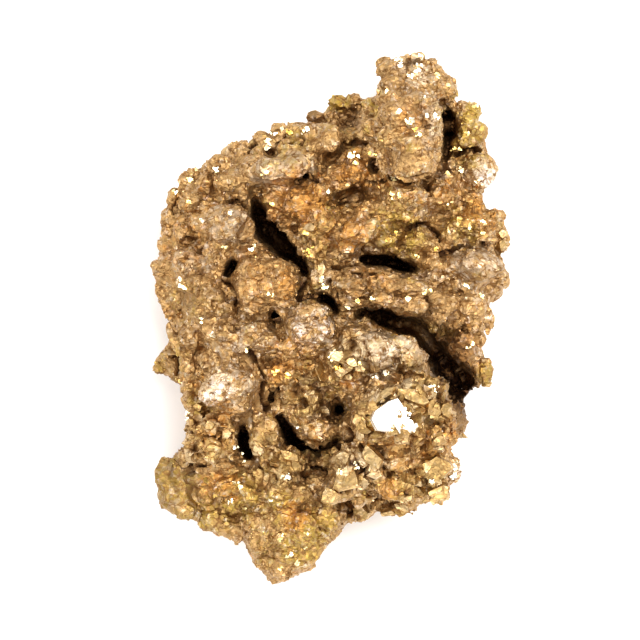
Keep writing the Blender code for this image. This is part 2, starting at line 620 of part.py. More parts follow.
def add_blade(shape: bmesh.types.BMesh, stations: tuple) -> None:
    """Adds a tapering blade that follows a cleft: wide at its mouth, narrow at its floor."""
    rings = []
    stations = ragged(stations)
    for i, station in enumerate(stations):
        before, after = stations[max(i - 1, 0)], stations[min(i + 1, len(stations) - 1)]
        along = Vector((after.x - before.x, after.y - before.y, 0)).normalized()
        side = Vector((-along.y, along.x, 0)) * station.half
        middle = Vector((station.x, station.y, 0))
        levels = (
            (MOUTH, MOUTH_FLARE, -1), (station.floor + FLOOR_RISE, 1.0, -1), (station.floor, FLOOR_SHARE, -1),
            (station.floor, FLOOR_SHARE, 1), (station.floor + FLOOR_RISE, 1.0, 1), (MOUTH, MOUTH_FLARE, 1),
        )
        rings.append([
            shape.verts.new((middle + side * share * hand + Vector((0, 0, height))) * MM)
            for height, share, hand in levels
        ])
    for ring, following in zip(rings, rings[1:]):
        for k in range(len(ring)):
            j = (k + 1) % len(ring)
            shape.faces.new((ring[k], ring[j], following[j], following[k]))
    shape.faces.new(rings[0])
    shape.faces.new(rings[-1])


def add_well(shape: bmesh.types.BMesh, pit: Station) -> None:
    """Adds a tapering well, for a round pit."""
    depth = MOUTH - pit.floor
    bmesh.ops.create_cone(
        shape, cap_ends=True, segments=9, radius1=pit.half * 0.8 * MM, radius2=pit.half * MOUTH_FLARE * MM,
        depth=depth * MM, matrix=Matrix.Translation(Vector((pit.x, pit.y, pit.floor + depth / 2)) * MM),
    )


def cleft_cutter() -> bpy.types.Object:
    """All the clefts and pits, as one helper."""
    shape = bmesh.new()
    for stations in CLEFTS.values():
        add_blade(shape, stations)
    for pit in PITS:
        add_well(shape, pit)
    bmesh.ops.recalc_face_normals(shape, faces=shape.faces)
    clefts = as_cutter(mesh_object("cleft_cutter", shape))
    fuse(clefts, "fuse_blades", BLADE_PITCH)
    return clefts


def ground_cutter() -> bpy.types.Object:
    """The block below the ground plane that trims the broken-off underside flat."""
    shape = bmesh.new()
    block = Matrix.Diagonal((2 * DRAWN_WIDTH, 2 * DRAWN_LENGTH, DRAWN_HEIGHT, 1))
    place = Matrix.Scale(MM, 4) @ Matrix.Translation((0, 0, -DRAWN_HEIGHT / 2)) @ block
    bmesh.ops.create_cube(shape, size=1.0, matrix=place)
    return as_cutter(mesh_object("ground_cutter", shape))


def fuse(obj: bpy.types.Object, name: str, pitch: float) -> None:
    """Fuses what overlaps in an object into one skin, made at this pitch."""
    modifier = obj.modifiers.new(name, "REMESH")
    modifier.mode = "VOXEL"
    modifier.voxel_size = pitch * MM


def cut(obj: bpy.types.Object, cutter: bpy.types.Object) -> None:
    """Takes a cutter's volume out of an object."""
    modifier = obj.modifiers.new(cutter.name, "BOOLEAN")
    modifier.operation = "DIFFERENCE"
    modifier.solver = "EXACT"
    modifier.object = cutter


def pyrite_material() -> bpy.types.Material:
    """Brassy, slightly tarnished metal."""
    material = bpy.data.materials.new("pyrite")
    material.use_nodes = True
    shader = material.node_tree.nodes["Principled BSDF"]
    shader.inputs["Base Color"].default_value = (0.42, 0.27, 0.10, 1)
    shader.inputs["Metallic"].default_value = 0.85
    shader.inputs["Roughness"].default_value = 0.42
    return material


def island_of(seed: bmesh.types.BMVert) -> set:
    """The vertices that edges join to this one."""
    found = {seed}
    rim = [seed]
    while rim:
        vertex = rim.pop()
        for edge in vertex.link_edges:
            other = edge.other_vert(vertex)
            if other not in found:
                found.add(other)
                rim.append(other)
    return found


def keep_outer_skin(obj: bpy.types.Object) -> int:
    """Settles an object's modifiers into its mesh and drops the little voids shut inside it.

    Returns:
        How many triangles the skin has.
    """
    bpy.context.view_layer.update()
    graph = bpy.context.evaluated_depsgraph_get()
    settled = bpy.data.meshes.new_from_object(obj.evaluated_get(graph))
    obj.modifiers.clear()
    shape = bmesh.new()
    shape.from_mesh(settled)
    left = set(shape.verts)
    islands = []
    while left:
        islands.append(island_of(min(left, key=lambda v: v.index)))
        left -= islands[-1]
    skin = max(islands, key=len)
    bmesh.ops.delete(shape, geom=[v for v in shape.verts if v not in skin], context="VERTS")
    shape.to_mesh(settled)
    shape.free()
    obj.data = settled
    return sum(len(face.vertices) - 2 for face in settled.polygons)


def centre_on_origin(mass: bpy.types.Object) -> None:
    """Moves the mass level, so that the origin is under the middle of its outline."""
    bpy.context.view_layer.update()
    graph = bpy.context.evaluated_depsgraph_get()
    corners = [Vector(corner) for corner in mass.evaluated_get(graph).bound_box]
    middle = (corners[0] + corners[6]) / 2
    mass.location = (-middle.x, -middle.y, 0)


def wall_growths(dice: random.Random) -> list:
    """The growths that stud the walls, at every height from the ground to the shoulders."""
    found = []
    for k in range(WALL_GROWTHS):
        place = (k + dice.random()) / WALL_GROWTHS * len(WALL_PATH)
        corner = int(place) % len(WALL_PATH)
        start, end = Vector(WALL_PATH[corner]), Vector(WALL_PATH[(corner + 1) % len(WALL_PATH)])
        size = dice.uniform(WALL_SMALL, WALL_LARGE)
        inward = Vector((start.y - end.y, end.x - start.x)).normalized() * -0.45 * size
        x, y = start.lerp(end, place % 1.0) + inward
        height = dice.uniform(0, WALL_TOP - size)
        found.append(Lump(x, y, height, size, size, size * WALL_SQUASH, dice.uniform(0, 180)))
    return found


def build_mass() -> bpy.types.Object:
    """The whole cluster: growths fused into one skin, parted by clefts and cut flat underneath."""
    dice = random.Random(SEED)
    cluster = Cluster()
    for growths in (GROUND_MASS, FOOT) + GROWTHS:
        for lump in growths:
            cluster.add_lump(lump)
            cluster.add_nodules(lump, FINE_CROP, dice)
    for lump in wall_growths(dice):
        cluster.add_lump(lump)
        cluster.add_nodules(lump, FINE_CROP, dice)
    for crystal in CRYSTALS:
        cluster.add_crystal(crystal)
    cluster.place(hull_mesh("toe", TOE_CORNERS), Matrix.Scale(MM, 4))
    mass = cluster.to_object("pyrite_mass")
    mass.data.materials.append(pyrite_material())
    fuse(mass, "fuse_growths", FUSE_PITCH)
    clefts = cleft_cutter()
    cut(mass, clefts)
    fuse(mass, "fuse_clefts", FUSE_PITCH)
    triangles = keep_outer_skin(mass)
    bpy.data.objects.remove(clefts)
    facets = mass.modifiers.new("facets", "DECIMATE")
    facets.ratio = FACETS / triangles
    cut(mass, ground_cutter())
    return mass


def main() -> None:
    clear_scene()
    centre_on_origin(build_mass())


if __name__ == "__main__":
    main()
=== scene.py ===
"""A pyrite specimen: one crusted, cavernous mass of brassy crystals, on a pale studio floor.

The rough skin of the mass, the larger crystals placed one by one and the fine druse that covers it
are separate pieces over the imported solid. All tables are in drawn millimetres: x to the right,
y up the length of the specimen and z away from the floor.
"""

import logging
import math
import random
from dataclasses import dataclass, field
from enum import Enum
from typing import NamedTuple, Optional, Sequence, Union

import bmesh
import bpy
import numpy as np
from mathutils import Matrix, Vector
from mathutils.bvhtree import BVHTree


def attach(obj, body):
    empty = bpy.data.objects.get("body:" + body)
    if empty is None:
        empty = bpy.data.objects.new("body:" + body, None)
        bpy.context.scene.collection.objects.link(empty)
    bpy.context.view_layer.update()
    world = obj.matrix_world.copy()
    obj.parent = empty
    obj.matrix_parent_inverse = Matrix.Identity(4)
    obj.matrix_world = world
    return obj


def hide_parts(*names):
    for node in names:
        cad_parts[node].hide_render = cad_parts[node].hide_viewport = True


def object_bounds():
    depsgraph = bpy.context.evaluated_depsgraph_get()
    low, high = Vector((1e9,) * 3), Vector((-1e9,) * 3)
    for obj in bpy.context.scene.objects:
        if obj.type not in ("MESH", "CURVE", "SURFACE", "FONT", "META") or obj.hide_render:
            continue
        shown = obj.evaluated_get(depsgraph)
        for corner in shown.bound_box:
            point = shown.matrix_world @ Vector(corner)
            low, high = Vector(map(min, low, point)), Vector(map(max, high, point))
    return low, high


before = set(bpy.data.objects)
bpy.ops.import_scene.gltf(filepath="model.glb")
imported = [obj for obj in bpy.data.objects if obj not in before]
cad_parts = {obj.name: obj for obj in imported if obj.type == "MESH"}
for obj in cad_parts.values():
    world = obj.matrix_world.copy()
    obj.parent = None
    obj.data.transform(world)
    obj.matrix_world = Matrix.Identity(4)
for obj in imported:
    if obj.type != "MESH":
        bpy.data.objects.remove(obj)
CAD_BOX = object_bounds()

LOG = logging.getLogger("pyrite")

MM = 0.001
NODE = "pyrite_mass"
BODY = "root"
DRAWN_SHIFT = (0.104, 0.562)

KEY_TOWARD = 48.0
KEY_ANGLE = 17.0
KEY_LEAN = KEY_ANGLE / 2

Colour = tuple[float, float, float, float]
Socket = bpy.types.NodeSocket
Value = Union[Socket, float, int, bool, str, tuple, None]


class Tint(Enum):
    """What a patch of the surface is tinted or covered with, by the name of its attribute. The dark tint is painted
    shade, and the pale and white tints are partly painted highlight.
    """

    OLIVE = "olive"
    RUST = "rust"
    GREY = "grey"
    PALE = "pale"
    WHITE = "white"
    DARK = "dark"
    COARSE = "coarse"
    BARE = "bare"
    LAYERED = "layered"


class Patch(NamedTuple):
    """A soft-edged spot of a tint, round in plan."""

    tint: Tint
    x: float
    y: float
    radius: float
    strength: float


class Boulder(NamedTuple):
    """A lump of the crust: its plan place, half sizes, turn, and how far it stands proud."""

    x: float
    y: float
    long: float
    wide: float
    turn: float
    rise: float


class Crack(NamedTuple):
    """A thin split, dented in and darkened with painted shade: its half width, its depth and the plan points it runs
    through.
    """

    half_width: float
    depth: float
    path: tuple[tuple[float, float], ...]


class Flash(NamedTuple):
    """A group of flakes that catch the light together: place, half sizes, turn and warmth."""

    x: float
    y: float
    long: float
    wide: float
    turn: float
    warmth: float


class Facet(NamedTuple):
    """A larger crystal: place, half sizes, turn, which way it leans, how far, and its tone."""

    x: float
    y: float
    long: float
    wide: float
    turn: float
    toward: float
    lean: float
    tone: float


# Tint patches. The dark ones are painted shade over clefts, hollows and shadowed sides; the white and pale ones are
# partly painted highlight on lumps that catch the light.
PATCHES = (
    Patch(Tint.OLIVE, -26.0, -26.0, 4.5, 1.1),
    Patch(Tint.OLIVE, -21.5, -30.5, 4.0, 1.0),
    Patch(Tint.OLIVE, -14.0, -28.0, 4.0, 0.9),
    Patch(Tint.OLIVE, -8.0, -29.5, 3.5, 0.9),
    Patch(Tint.OLIVE, -4.5, -36.0, 4.5, 0.9),
    Patch(Tint.OLIVE, -10.0, -36.5, 3.5, 0.6),
    Patch(Tint.OLIVE, 12.0, -28.0, 4.0, 0.7),
    Patch(Tint.OLIVE, 7.5, -17.0, 3.5, 0.6),
    Patch(Tint.OLIVE, 25.0, -8.0, 3.0, 0.8),
    Patch(Tint.OLIVE, -27.0, -6.5, 3.5, 0.9),
    Patch(Tint.OLIVE, 0.5, 16.5, 3.5, 0.7),
    Patch(Tint.OLIVE, -23.0, 3.0, 3.0, 0.7),
    Patch(Tint.PALE, 9.0, -10.5, 4.0, 0.6),
    Patch(Tint.PALE, 3.0, -26.5, 3.0, 0.6),
    Patch(Tint.PALE, 14.5, -15.5, 3.5, 0.5),
    Patch(Tint.DARK, -22.5, 3.2, 1.6, 0.45),
    Patch(Tint.DARK, -25.0, -27.0, 5.0, 0.42),
    Patch(Tint.DARK, 3.5, 5.2, 3.5, 0.2),
    Patch(Tint.DARK, 8.5, 4.6, 4.0, 0.2),
    Patch(Tint.DARK, 13.5, 3.0, 4.0, 0.2),
    Patch(Tint.RUST, 7.0, 5.0, 5.0, 0.4),
    Patch(Tint.WHITE, 9.0, -4.2, 4.5, 0.08),
    Patch(Tint.WHITE, -15.5, -9.5, 3.5, 0.12),
    Patch(Tint.WHITE, -2.0, -2.0, 4.0, 0.25),
    Patch(Tint.PALE, -4.0, -14.0, 5.0, 0.6),
    Patch(Tint.PALE, 9.0, -4.0, 4.5, 0.5),
    Patch(Tint.PALE, -15.0, -6.0, 6.0, 0.3),
    Patch(Tint.DARK, 21.0, -15.0, 1.7, 0.6),
    Patch(Tint.DARK, 20.9, -17.6, 1.3, 0.5),
    Patch(Tint.WHITE, -17.6, -9.4, 1.4, 0.45),
    Patch(Tint.WHITE, -19.1, -12.2, 1.4, 0.6),
    Patch(Tint.WHITE, 24.6, 22.3, 1.6, 0.9),
    Patch(Tint.WHITE, 19.7, -23.6, 1.4, 0.9),
    Patch(Tint.WHITE, 19.4, -25.2, 1.2, 0.8),
    Patch(Tint.WHITE, 8.6, -6.6, 1.8, 0.4),
    Patch(Tint.WHITE, 7.6, -8.9, 1.2, 0.7),
    Patch(Tint.WHITE, 3.8, -22.6, 1.0, 0.9),
    Patch(Tint.WHITE, -5.0, -2.4, 2.0, 0.45),
    Patch(Tint.WHITE, -0.3, 5.8, 1.0, 0.6),
    Patch(Tint.DARK, 17.2, -6.0, 1.6, 1.0),
    Patch(Tint.DARK, 17.4, -3.0, 1.5, 0.75),
    Patch(Tint.DARK, 18.9, -8.2, 2.6, 1.0),
    Patch(Tint.DARK, 20.8, -10.6, 2.9, 1.0),
    Patch(Tint.OLIVE, 21.5, 31.0, 5.0, 1.0),
    Patch(Tint.OLIVE, 22.0, 27.0, 3.5, 0.8),
    Patch(Tint.OLIVE, 1.5, 33.5, 4.0, 0.9),
    Patch(Tint.OLIVE, -7.5, 27.0, 4.0, 0.6),
    Patch(Tint.OLIVE, 5.5, 27.5, 3.0, 0.7),
    Patch(Tint.OLIVE, 10.5, 13.5, 5.0, 0.9),
    Patch(Tint.OLIVE, 21.0, 15.5, 4.0, 0.7),
    Patch(Tint.OLIVE, -1.5, 13.0, 4.0, 0.5),
    Patch(Tint.OLIVE, -2.0, 6.0, 3.0, 0.6),
    Patch(Tint.OLIVE, 9.0, -4.5, 5.5, 0.45),
    Patch(Tint.OLIVE, 14.5, -12.0, 5.0, 0.5),
    Patch(Tint.OLIVE, 16.2, -23.2, 2.6, 0.9),
    Patch(Tint.OLIVE, -3.0, -12.0, 5.0, 0.6),
    Patch(Tint.OLIVE, -12.5, -19.0, 3.5, 0.5),
    Patch(Tint.OLIVE, -6.5, -24.0, 4.5, 0.5),
    Patch(Tint.OLIVE, -18.5, -28.0, 6.0, 0.9),
    Patch(Tint.OLIVE, -3.5, -33.0, 5.0, 0.9),
    Patch(Tint.OLIVE, 10.0, -26.5, 3.5, 0.8),
    Patch(Tint.OLIVE, -27.0, -7.0, 3.0, 0.6),
    Patch(Tint.GREY, 7.0, -4.6, 3.4, 1.3),
    Patch(Tint.GREY, 12.5, -5.5, 2.6, 0.8),
    Patch(Tint.RUST, -5.0, 18.5, 4.5, 1.2),
    Patch(Tint.RUST, 3.4, 24.0, 2.8, 1.2),
    Patch(Tint.RUST, 2.6, 13.6, 3.2, 1.1),
    Patch(Tint.RUST, -17.8, -17.6, 2.6, 1.2),
    Patch(Tint.RUST, -7.5, -8.2, 2.6, 1.3),
    Patch(Tint.RUST, 15.6, -19.6, 2.8, 1.2),
    Patch(Tint.RUST, 8.8, -26.6, 2.4, 1.1),
    Patch(Tint.RUST, 3.0, -8.8, 1.8, 1.2),
    Patch(Tint.RUST, -5.5, -31.0, 2.4, 1.0),
    Patch(Tint.RUST, -18.0, -26.0, 3.4, 0.9),
    Patch(Tint.RUST, -6.4, 5.4, 2.4, 1.1),
    Patch(Tint.RUST, 3.0, 22.5, 3.8, 0.9),
    Patch(Tint.RUST, 3.5, 15.0, 4.5, 0.6),
    Patch(Tint.RUST, 24.5, 17.5, 4.0, 0.9),
    Patch(Tint.RUST, 18.5, 20.0, 3.0, 0.6),
    Patch(Tint.RUST, 12.0, 31.5, 2.6, 0.7),
    Patch(Tint.RUST, -5.5, -5.0, 3.5, 0.7),
    Patch(Tint.RUST, -17.5, -15.5, 3.0, 0.9),
    Patch(Tint.RUST, 10.5, -21.5, 4.0, 0.8),
    Patch(Tint.RUST, 18.5, -16.5, 3.0, 0.8),
    Patch(Tint.RUST, 20.5, -5.0, 4.0, 0.9),
    Patch(Tint.RUST, -11.0, 6.0, 4.0, 0.5),
    Patch(Tint.RUST, -23.0, 13.0, 4.0, 0.5),
    Patch(Tint.RUST, 13.0, 19.0, 2.6, 0.6),
    Patch(Tint.RUST, -3.5, -18.5, 2.8, 0.6),
    Patch(Tint.RUST, 1.0, 2.5, 2.5, 0.5),
    Patch(Tint.GREY, 15.5, 31.0, 4.0, 0.7),
    Patch(Tint.GREY, 14.0, 36.0, 3.0, 0.5),
    Patch(Tint.GREY, 23.3, 29.6, 2.4, 1.0),
    Patch(Tint.GREY, -7.5, 23.5, 4.5, 0.9),
    Patch(Tint.GREY, 5.0, 13.0, 3.6, 0.8),
    Patch(Tint.GREY, 23.5, 8.5, 5.0, 0.7),
    Patch(Tint.GREY, -1.0, 32.5, 3.0, 0.6),
    Patch(Tint.GREY, -16.0, 15.0, 4.0, 0.7),
    Patch(Tint.GREY, -22.5, 9.5, 3.5, 0.6),
    Patch(Tint.GREY, -2.5, -0.5, 4.5, 0.6),
    Patch(Tint.GREY, -12.0, -2.0, 3.5, 0.5),
    Patch(Tint.GREY, 9.5, -4.0, 5.5, 0.8),
    Patch(Tint.GREY, -15.5, -9.5, 4.5, 0.7),
    Patch(Tint.GREY, 4.5, -23.0, 4.0, 0.6),
    Patch(Tint.GREY, 14.0, 18.0, 3.0, 0.6),
    Patch(Tint.PALE, 10.0, -14.5, 5.0, 0.5),
    Patch(Tint.PALE, -18.0, -10.0, 3.0, 0.9),
    Patch(Tint.PALE, 24.0, 22.5, 3.0, 0.7),
    Patch(Tint.PALE, 13.5, 39.5, 3.0, 0.6),
    Patch(Tint.PALE, 1.5, -5.5, 3.0, 0.8),
    Patch(Tint.PALE, 17.0, -12.0, 3.0, 0.6),
    Patch(Tint.PALE, 5.0, -22.0, 4.0, 0.5),
    Patch(Tint.PALE, 19.5, -24.0, 2.0, 1.0),
    Patch(Tint.PALE, -25.0, -27.0, 4.0, 0.4),
    Patch(Tint.PALE, -2.0, 7.0, 2.5, 0.5),
    Patch(Tint.DARK, -10.0, 14.0, 3.0, 0.35),
    Patch(Tint.DARK, 19.0, 30.5, 1.6, 0.5),
    Patch(Tint.DARK, 11.0, 8.4, 2.0, 0.5),
    Patch(Tint.DARK, 18.5, -5.5, 4.0, 0.7),
    Patch(Tint.DARK, 21.5, -13.0, 3.0, 0.9),
    Patch(Tint.DARK, 3.0, 31.0, 1.6, 0.7),
    Patch(Tint.DARK, -3.5, 32.0, 1.8, 0.5),
    Patch(Tint.COARSE, 11.5, -14.0, 8.0, 1.0),
    Patch(Tint.COARSE, 5.0, -22.5, 5.0, 1.0),
    Patch(Tint.COARSE, 14.5, -27.0, 5.0, 0.9),
    Patch(Tint.COARSE, -19.0, -18.5, 5.0, 0.8),
    Patch(Tint.COARSE, -4.0, -12.0, 5.0, 0.8),
    Patch(Tint.COARSE, -9.0, -22.5, 5.0, 0.8),
    Patch(Tint.COARSE, 2.5, -6.0, 4.0, 0.9),
    Patch(Tint.COARSE, 13.0, 40.5, 4.0, 0.5),
    Patch(Tint.BARE, 23.5, 8.0, 5.0, 0.6),
    Patch(Tint.BARE, -25.5, -27.0, 4.5, 0.9),
    Patch(Tint.BARE, -23.5, -24.0, 3.0, 0.7),
    Patch(Tint.BARE, -20.5, -31.0, 3.0, 0.6),
    Patch(Tint.BARE, -7.5, 23.5, 4.5, 0.7),
    Patch(Tint.BARE, 9.0, -3.5, 5.0, 0.6),
    Patch(Tint.BARE, 4.8, 13.0, 3.2, 0.7),
    Patch(Tint.BARE, 23.3, 29.6, 2.0, 0.9),
    Patch(Tint.BARE, 16.2, -23.2, 2.4, 0.9),
    Patch(Tint.LAYERED, 3.5, 5.0, 4.5, 0.9),
    Patch(Tint.LAYERED, 9.5, 4.0, 5.0, 1.0),
    Patch(Tint.LAYERED, 15.0, 2.5, 4.5, 0.9),
    Patch(Tint.LAYERED, -3.0, 1.0, 4.0, 0.8),
    Patch(Tint.LAYERED, 4.5, 13.0, 4.0, 0.9),
    Patch(Tint.LAYERED, 20.5, 18.0, 4.5, 0.9),
    Patch(Tint.LAYERED, 14.0, 18.5, 3.0, 0.8),
)

CROWN = (
    Boulder(9.2, 39.3, 2.3, 2.1, 0, 0.5),
    Boulder(8.4, 40.2, 1.4, 1.2, 0, 0.3),
    Boulder(11.2, 40.3, 2.0, 1.4, 18, 0.4),
    Boulder(13.6, 40.9, 1.5, 1.4, 0, 0.5),
    Boulder(16.0, 39.8, 1.7, 1.5, -15, 0.4),
    Boulder(13.0, 38.4, 2.3, 1.2, 35, 0.6),
    Boulder(17.4, 37.0, 2.5, 2.3, -30, 0.6),
    Boulder(9.2, 37.0, 2.0, 1.2, 10, 0.3),
    Boulder(12.6, 36.2, 1.7, 1.1, 10, 0.4),
    Boulder(18.9, 36.4, 1.4, 1.9, 30, 0.4),
    Boulder(8.7, 34.3, 1.8, 1.5, 0, 0.4),
    Boulder(13.4, 34.2, 2.4, 1.3, 0, 0.4),
    Boulder(15.6, 31.9, 2.0, 2.6, 20, 0.7),
    Boulder(9.6, 31.6, 2.5, 2.2, 0, 0.5),
    Boulder(12.6, 31.0, 2.0, 1.4, -35, 0.7),
    Boulder(12.0, 28.4, 2.6, 1.8, -10, 0.5),
    Boulder(15.6, 28.0, 1.9, 2.1, 0, 0.7),
    Boulder(8.9, 28.1, 1.9, 2.1, 20, 0.5),
    Boulder(12.6, 24.0, 3.5, 2.8, 0, 0.8),
    Boulder(15.9, 24.2, 1.1, 2.4, -25, 0.4),
    Boulder(12.7, 19.3, 2.9, 2.1, 20, 0.6),
    Boulder(9.6, 19.6, 1.1, 1.6, 0, 0.4),
)

RIGHT_COLUMN = (
    Boulder(20.8, 33.0, 1.3, 1.5, 0, 0.2),
    Boulder(20.2, 27.9, 1.3, 1.3, 0, 0.1),
    Boulder(16.8, 22.7, 1.3, 1.1, 0, 0.2),
    Boulder(18.4, 24.0, 1.1, 1.1, 0, 0.2),
    Boulder(22.0, 27.6, 1.8, 1.0, 5, 0.3),
    Boulder(-24.8, 4.0, 2.0, 1.8, 0, -0.3),
    Boulder(3.6, 28.6, 2.0, 1.0, 0, 0.2),
    Boulder(5.6, 22.4, 1.8, 1.0, 0, 0.1),
    Boulder(8.4, 22.6, 1.2, 1.0, 0, 0.1),
    Boulder(19.4, -4.6, 1.2, 1.3, 0, 0.2),
    Boulder(22.7, 33.2, 1.5, 1.5, 0, 0.5),
    Boulder(20.9, 33.6, 1.2, 1.5, 0, 0.4),
    Boulder(21.5, 31.3, 1.4, 1.4, 0, 0.4),
    Boulder(23.5, 29.4, 1.5, 2.0, -10, 0.7),
    Boulder(21.1, 28.4, 1.3, 1.4, 0, 0.4),
    Boulder(23.4, 23.5, 3.1, 3.0, 0, 0.8),
    Boulder(19.0, 24.6, 0.8, 1.1, 0, 0.5),
    Boulder(18.5, 22.0, 1.6, 1.2, 0, 0.4),
    Boulder(17.6, 19.4, 2.5, 1.6, 15, 0.5),
    Boulder(22.4, 19.1, 2.3, 1.2, -15, 0.5),
    Boulder(26.2, 16.5, 1.8, 1.3, 20, 0.4),
    Boulder(22.8, 17.2, 2.0, 1.2, 10, 0.4),
)

UPPER_MIDDLE = (
    Boulder(6.5, 26.1, 0.8, 1.0, 0, 0.6),
    Boulder(3.8, 26.2, 1.6, 0.9, 15, 0.5),
    Boulder(3.9, 23.4, 2.2, 2.1, 0, 0.7),
    Boulder(0.8, 22.9, 1.8, 1.8, 0, 0.5),
    Boulder(2.3, 20.9, 1.8, 0.8, 20, 0.4),
    Boulder(3.3, 29.2, 1.6, 1.2, 20, 0.5),
    Boulder(6.3, 29.7, 1.4, 1.7, 0, 0.5),
    Boulder(6.0, 33.4, 1.4, 1.5, 0, 0.5),
    Boulder(1.0, 34.4, 1.5, 1.4, 0, 0.6),
    Boulder(3.6, 34.5, 1.6, 1.5, 0, 0.7),
    Boulder(2.4, 31.6, 1.1, 0.9, 0, 0.4),
    Boulder(0.0, 28.7, 1.9, 2.4, 0, 0.6),
    Boulder(-2.6, 32.5, 1.5, 1.0, 10, 0.4),
    Boulder(-0.2, 32.3, 1.1, 0.9, 0, 0.3),
    Boulder(-5.2, 18.5, 2.6, 2.4, 0, 0.8),
    Boulder(-9.5, 18.9, 1.5, 1.4, 0, 0.5),
    Boulder(-1.2, 20.3, 1.5, 1.2, -20, 0.5),
    Boulder(-2.3, 17.9, 1.3, 1.4, 0, 0.4),
    Boulder(-3.6, 14.0, 1.7, 1.4, 0, 0.5),
    Boulder(-0.6, 14.6, 1.7, 1.4, 20, 0.4),
    Boulder(-1.3, 11.9, 1.7, 1.4, -10, 0.4),
    Boulder(-3.0, 10.2, 1.0, 1.2, 0, 0.5),
    Boulder(-9.2, 16.6, 1.2, 1.5, 20, 0.3),
    Boulder(-7.4, 14.8, 1.4, 1.6, 30, 0.3),
    Boulder(-5.7, 12.6, 1.2, 1.6, 30, 0.3),
    Boulder(-4.5, 10.7, 0.9, 1.3, 20, 0.2),
    Boulder(7.6, 10.7, 2.0, 0.8, 0, 0.3),
    Boulder(11.4, 9.7, 1.6, 0.8, -25, 0.3),
    Boulder(-2.1, 6.6, 1.5, 2.4, 0, 0.5),
    Boulder(-0.6, 9.0, 1.4, 1.3, 0, 0.4),
)

UPPER_LEFT = (
    Boulder(-8.3, 30.2, 1.6, 1.0, 10, 0.5),
    Boulder(-5.8, 30.2, 1.5, 1.2, 0, 0.5),
    Boulder(-3.3, 29.7, 2.0, 1.7, 0, 0.5),
    Boulder(-6.4, 27.1, 2.3, 1.5, 0, 0.5),
    Boulder(-2.7, 26.9, 1.9, 1.5, 0, 0.5),
    Boulder(-11.2, 29.0, 1.5, 1.1, 0, 0.4),
    Boulder(-14.8, 27.2, 2.0, 1.3, 25, 0.4),
    Boulder(-11.4, 26.5, 1.4, 0.9, 0, 0.3),
    Boulder(-9.5, 23.3, 2.9, 2.2, 0, 0.7),
    Boulder(-5.4, 23.9, 2.6, 2.0, 45, 0.8),
    Boulder(-12.8, 23.4, 2.0, 2.3, -20, 0.5),
    Boulder(-17.7, 24.6, 2.2, 1.6, 25, 0.5),
    Boulder(-19.6, 21.8, 2.1, 1.7, 0, 0.5),
    Boulder(-22.6, 22.8, 1.9, 1.7, 15, 0.5),
    Boulder(-25.2, 19.5, 1.1, 1.9, 0, 0.3),
    Boulder(-22.2, 18.4, 2.1, 1.8, 0, 0.5),
    Boulder(-16.4, 21.6, 2.1, 1.5, 0, 0.4),
    Boulder(-14.6, 19.5, 2.0, 1.2, -20, 0.4),
    Boulder(-25.7, 15.9, 1.6, 1.9, 0, 0.4),
)

LEFT_SIDE = (
    Boulder(-16.3, 15.2, 3.4, 3.1, 0, 0.8),
    Boulder(-20.4, 15.2, 1.9, 1.9, 0, 0.5),
    Boulder(-13.1, 13.8, 1.3, 2.1, -15, 0.4),
    Boulder(-23.3, 13.8, 1.9, 1.6, 0, 0.5),
    Boulder(-22.4, 9.3, 3.0, 2.9, 0, 0.8),
    Boulder(-18.6, 10.4, 1.6, 2.0, 0, 0.5),
    Boulder(-26.6, 8.4, 2.0, 1.9, 0, 0.5),
    Boulder(-26.4, 12.2, 1.3, 1.8, 0, 0.3),
    Boulder(-13.6, 11.6, 1.7, 1.1, 10, 0.3),
    Boulder(-19.2, 5.8, 2.2, 1.9, 0, 0.5),
    Boulder(-18.2, 3.8, 1.9, 1.4, 20, 0.5),
    Boulder(-19.9, 1.4, 1.8, 1.5, 0, 0.4),
    Boulder(-16.6, 1.6, 1.9, 1.6, 0, 0.5),
    Boulder(-26.6, 2.6, 3.4, 0.8, -68, 0.4),
    Boulder(-24.8, -3.0, 3.0, 0.8, -72, 0.4),
    Boulder(-22.2, -2.6, 1.9, 2.2, 0, 0.4),
    Boulder(-19.0, -1.9, 1.9, 1.7, 0, 0.4),
    Boulder(-16.3, -2.3, 1.9, 1.8, 0, 0.5),
    Boulder(-22.6, -6.8, 1.8, 2.1, 0, 0.4),
    Boulder(-19.3, -6.2, 2.0, 1.9, 0, 0.4),
    Boulder(-27.3, -7.7, 1.4, 1.3, 0, 0.5),
    Boulder(-26.0, -5.4, 1.5, 1.2, -30, 0.4),
    Boulder(-22.5, -10.6, 1.8, 1.9, 0, 0.4),
)

CENTRE = (
    Boulder(-12.2, 7.4, 2.4, 2.2, 0, 0.6),
    Boulder(-8.2, 7.7, 2.5, 2.1, -20, 0.6),
    Boulder(-13.0, 4.6, 2.0, 1.9, 0, 0.5),
    Boulder(-10.0, 4.9, 1.9, 1.9, 0, 0.5),
    Boulder(-7.4, 4.9, 2.1, 2.1, 0, 0.6),
    Boulder(-6.6, 2.2, 2.0, 1.0, -20, 0.4),
    Boulder(-12.6, 1.6, 2.0, 1.1, 0, 0.3),
    Boulder(-3.4, 1.4, 3.4, 1.2, 0, 0.5),
    Boulder(-4.0, -1.6, 2.6, 2.2, 0, 0.7),
    Boulder(-0.9, -1.9, 1.8, 2.4, 0, 0.6),
    Boulder(-12.0, -1.6, 2.2, 1.8, 0, 0.5),
    Boulder(-10.2, -3.5, 2.2, 1.9, 0, 0.5),
    Boulder(-6.8, -4.3, 2.0, 1.6, 0, 0.5),
    Boulder(-3.3, -4.6, 1.9, 1.2, 0, 0.5),
    Boulder(-13.8, -4.0, 1.5, 1.5, 0, 0.4),
    Boulder(-8.4, -7.9, 1.3, 1.0, 0, 0.4),
    Boulder(-6.2, -8.3, 1.2, 0.9, 0, 0.4),
    Boulder(-3.2, -7.4, 1.8, 1.3, 20, 0.4),
)

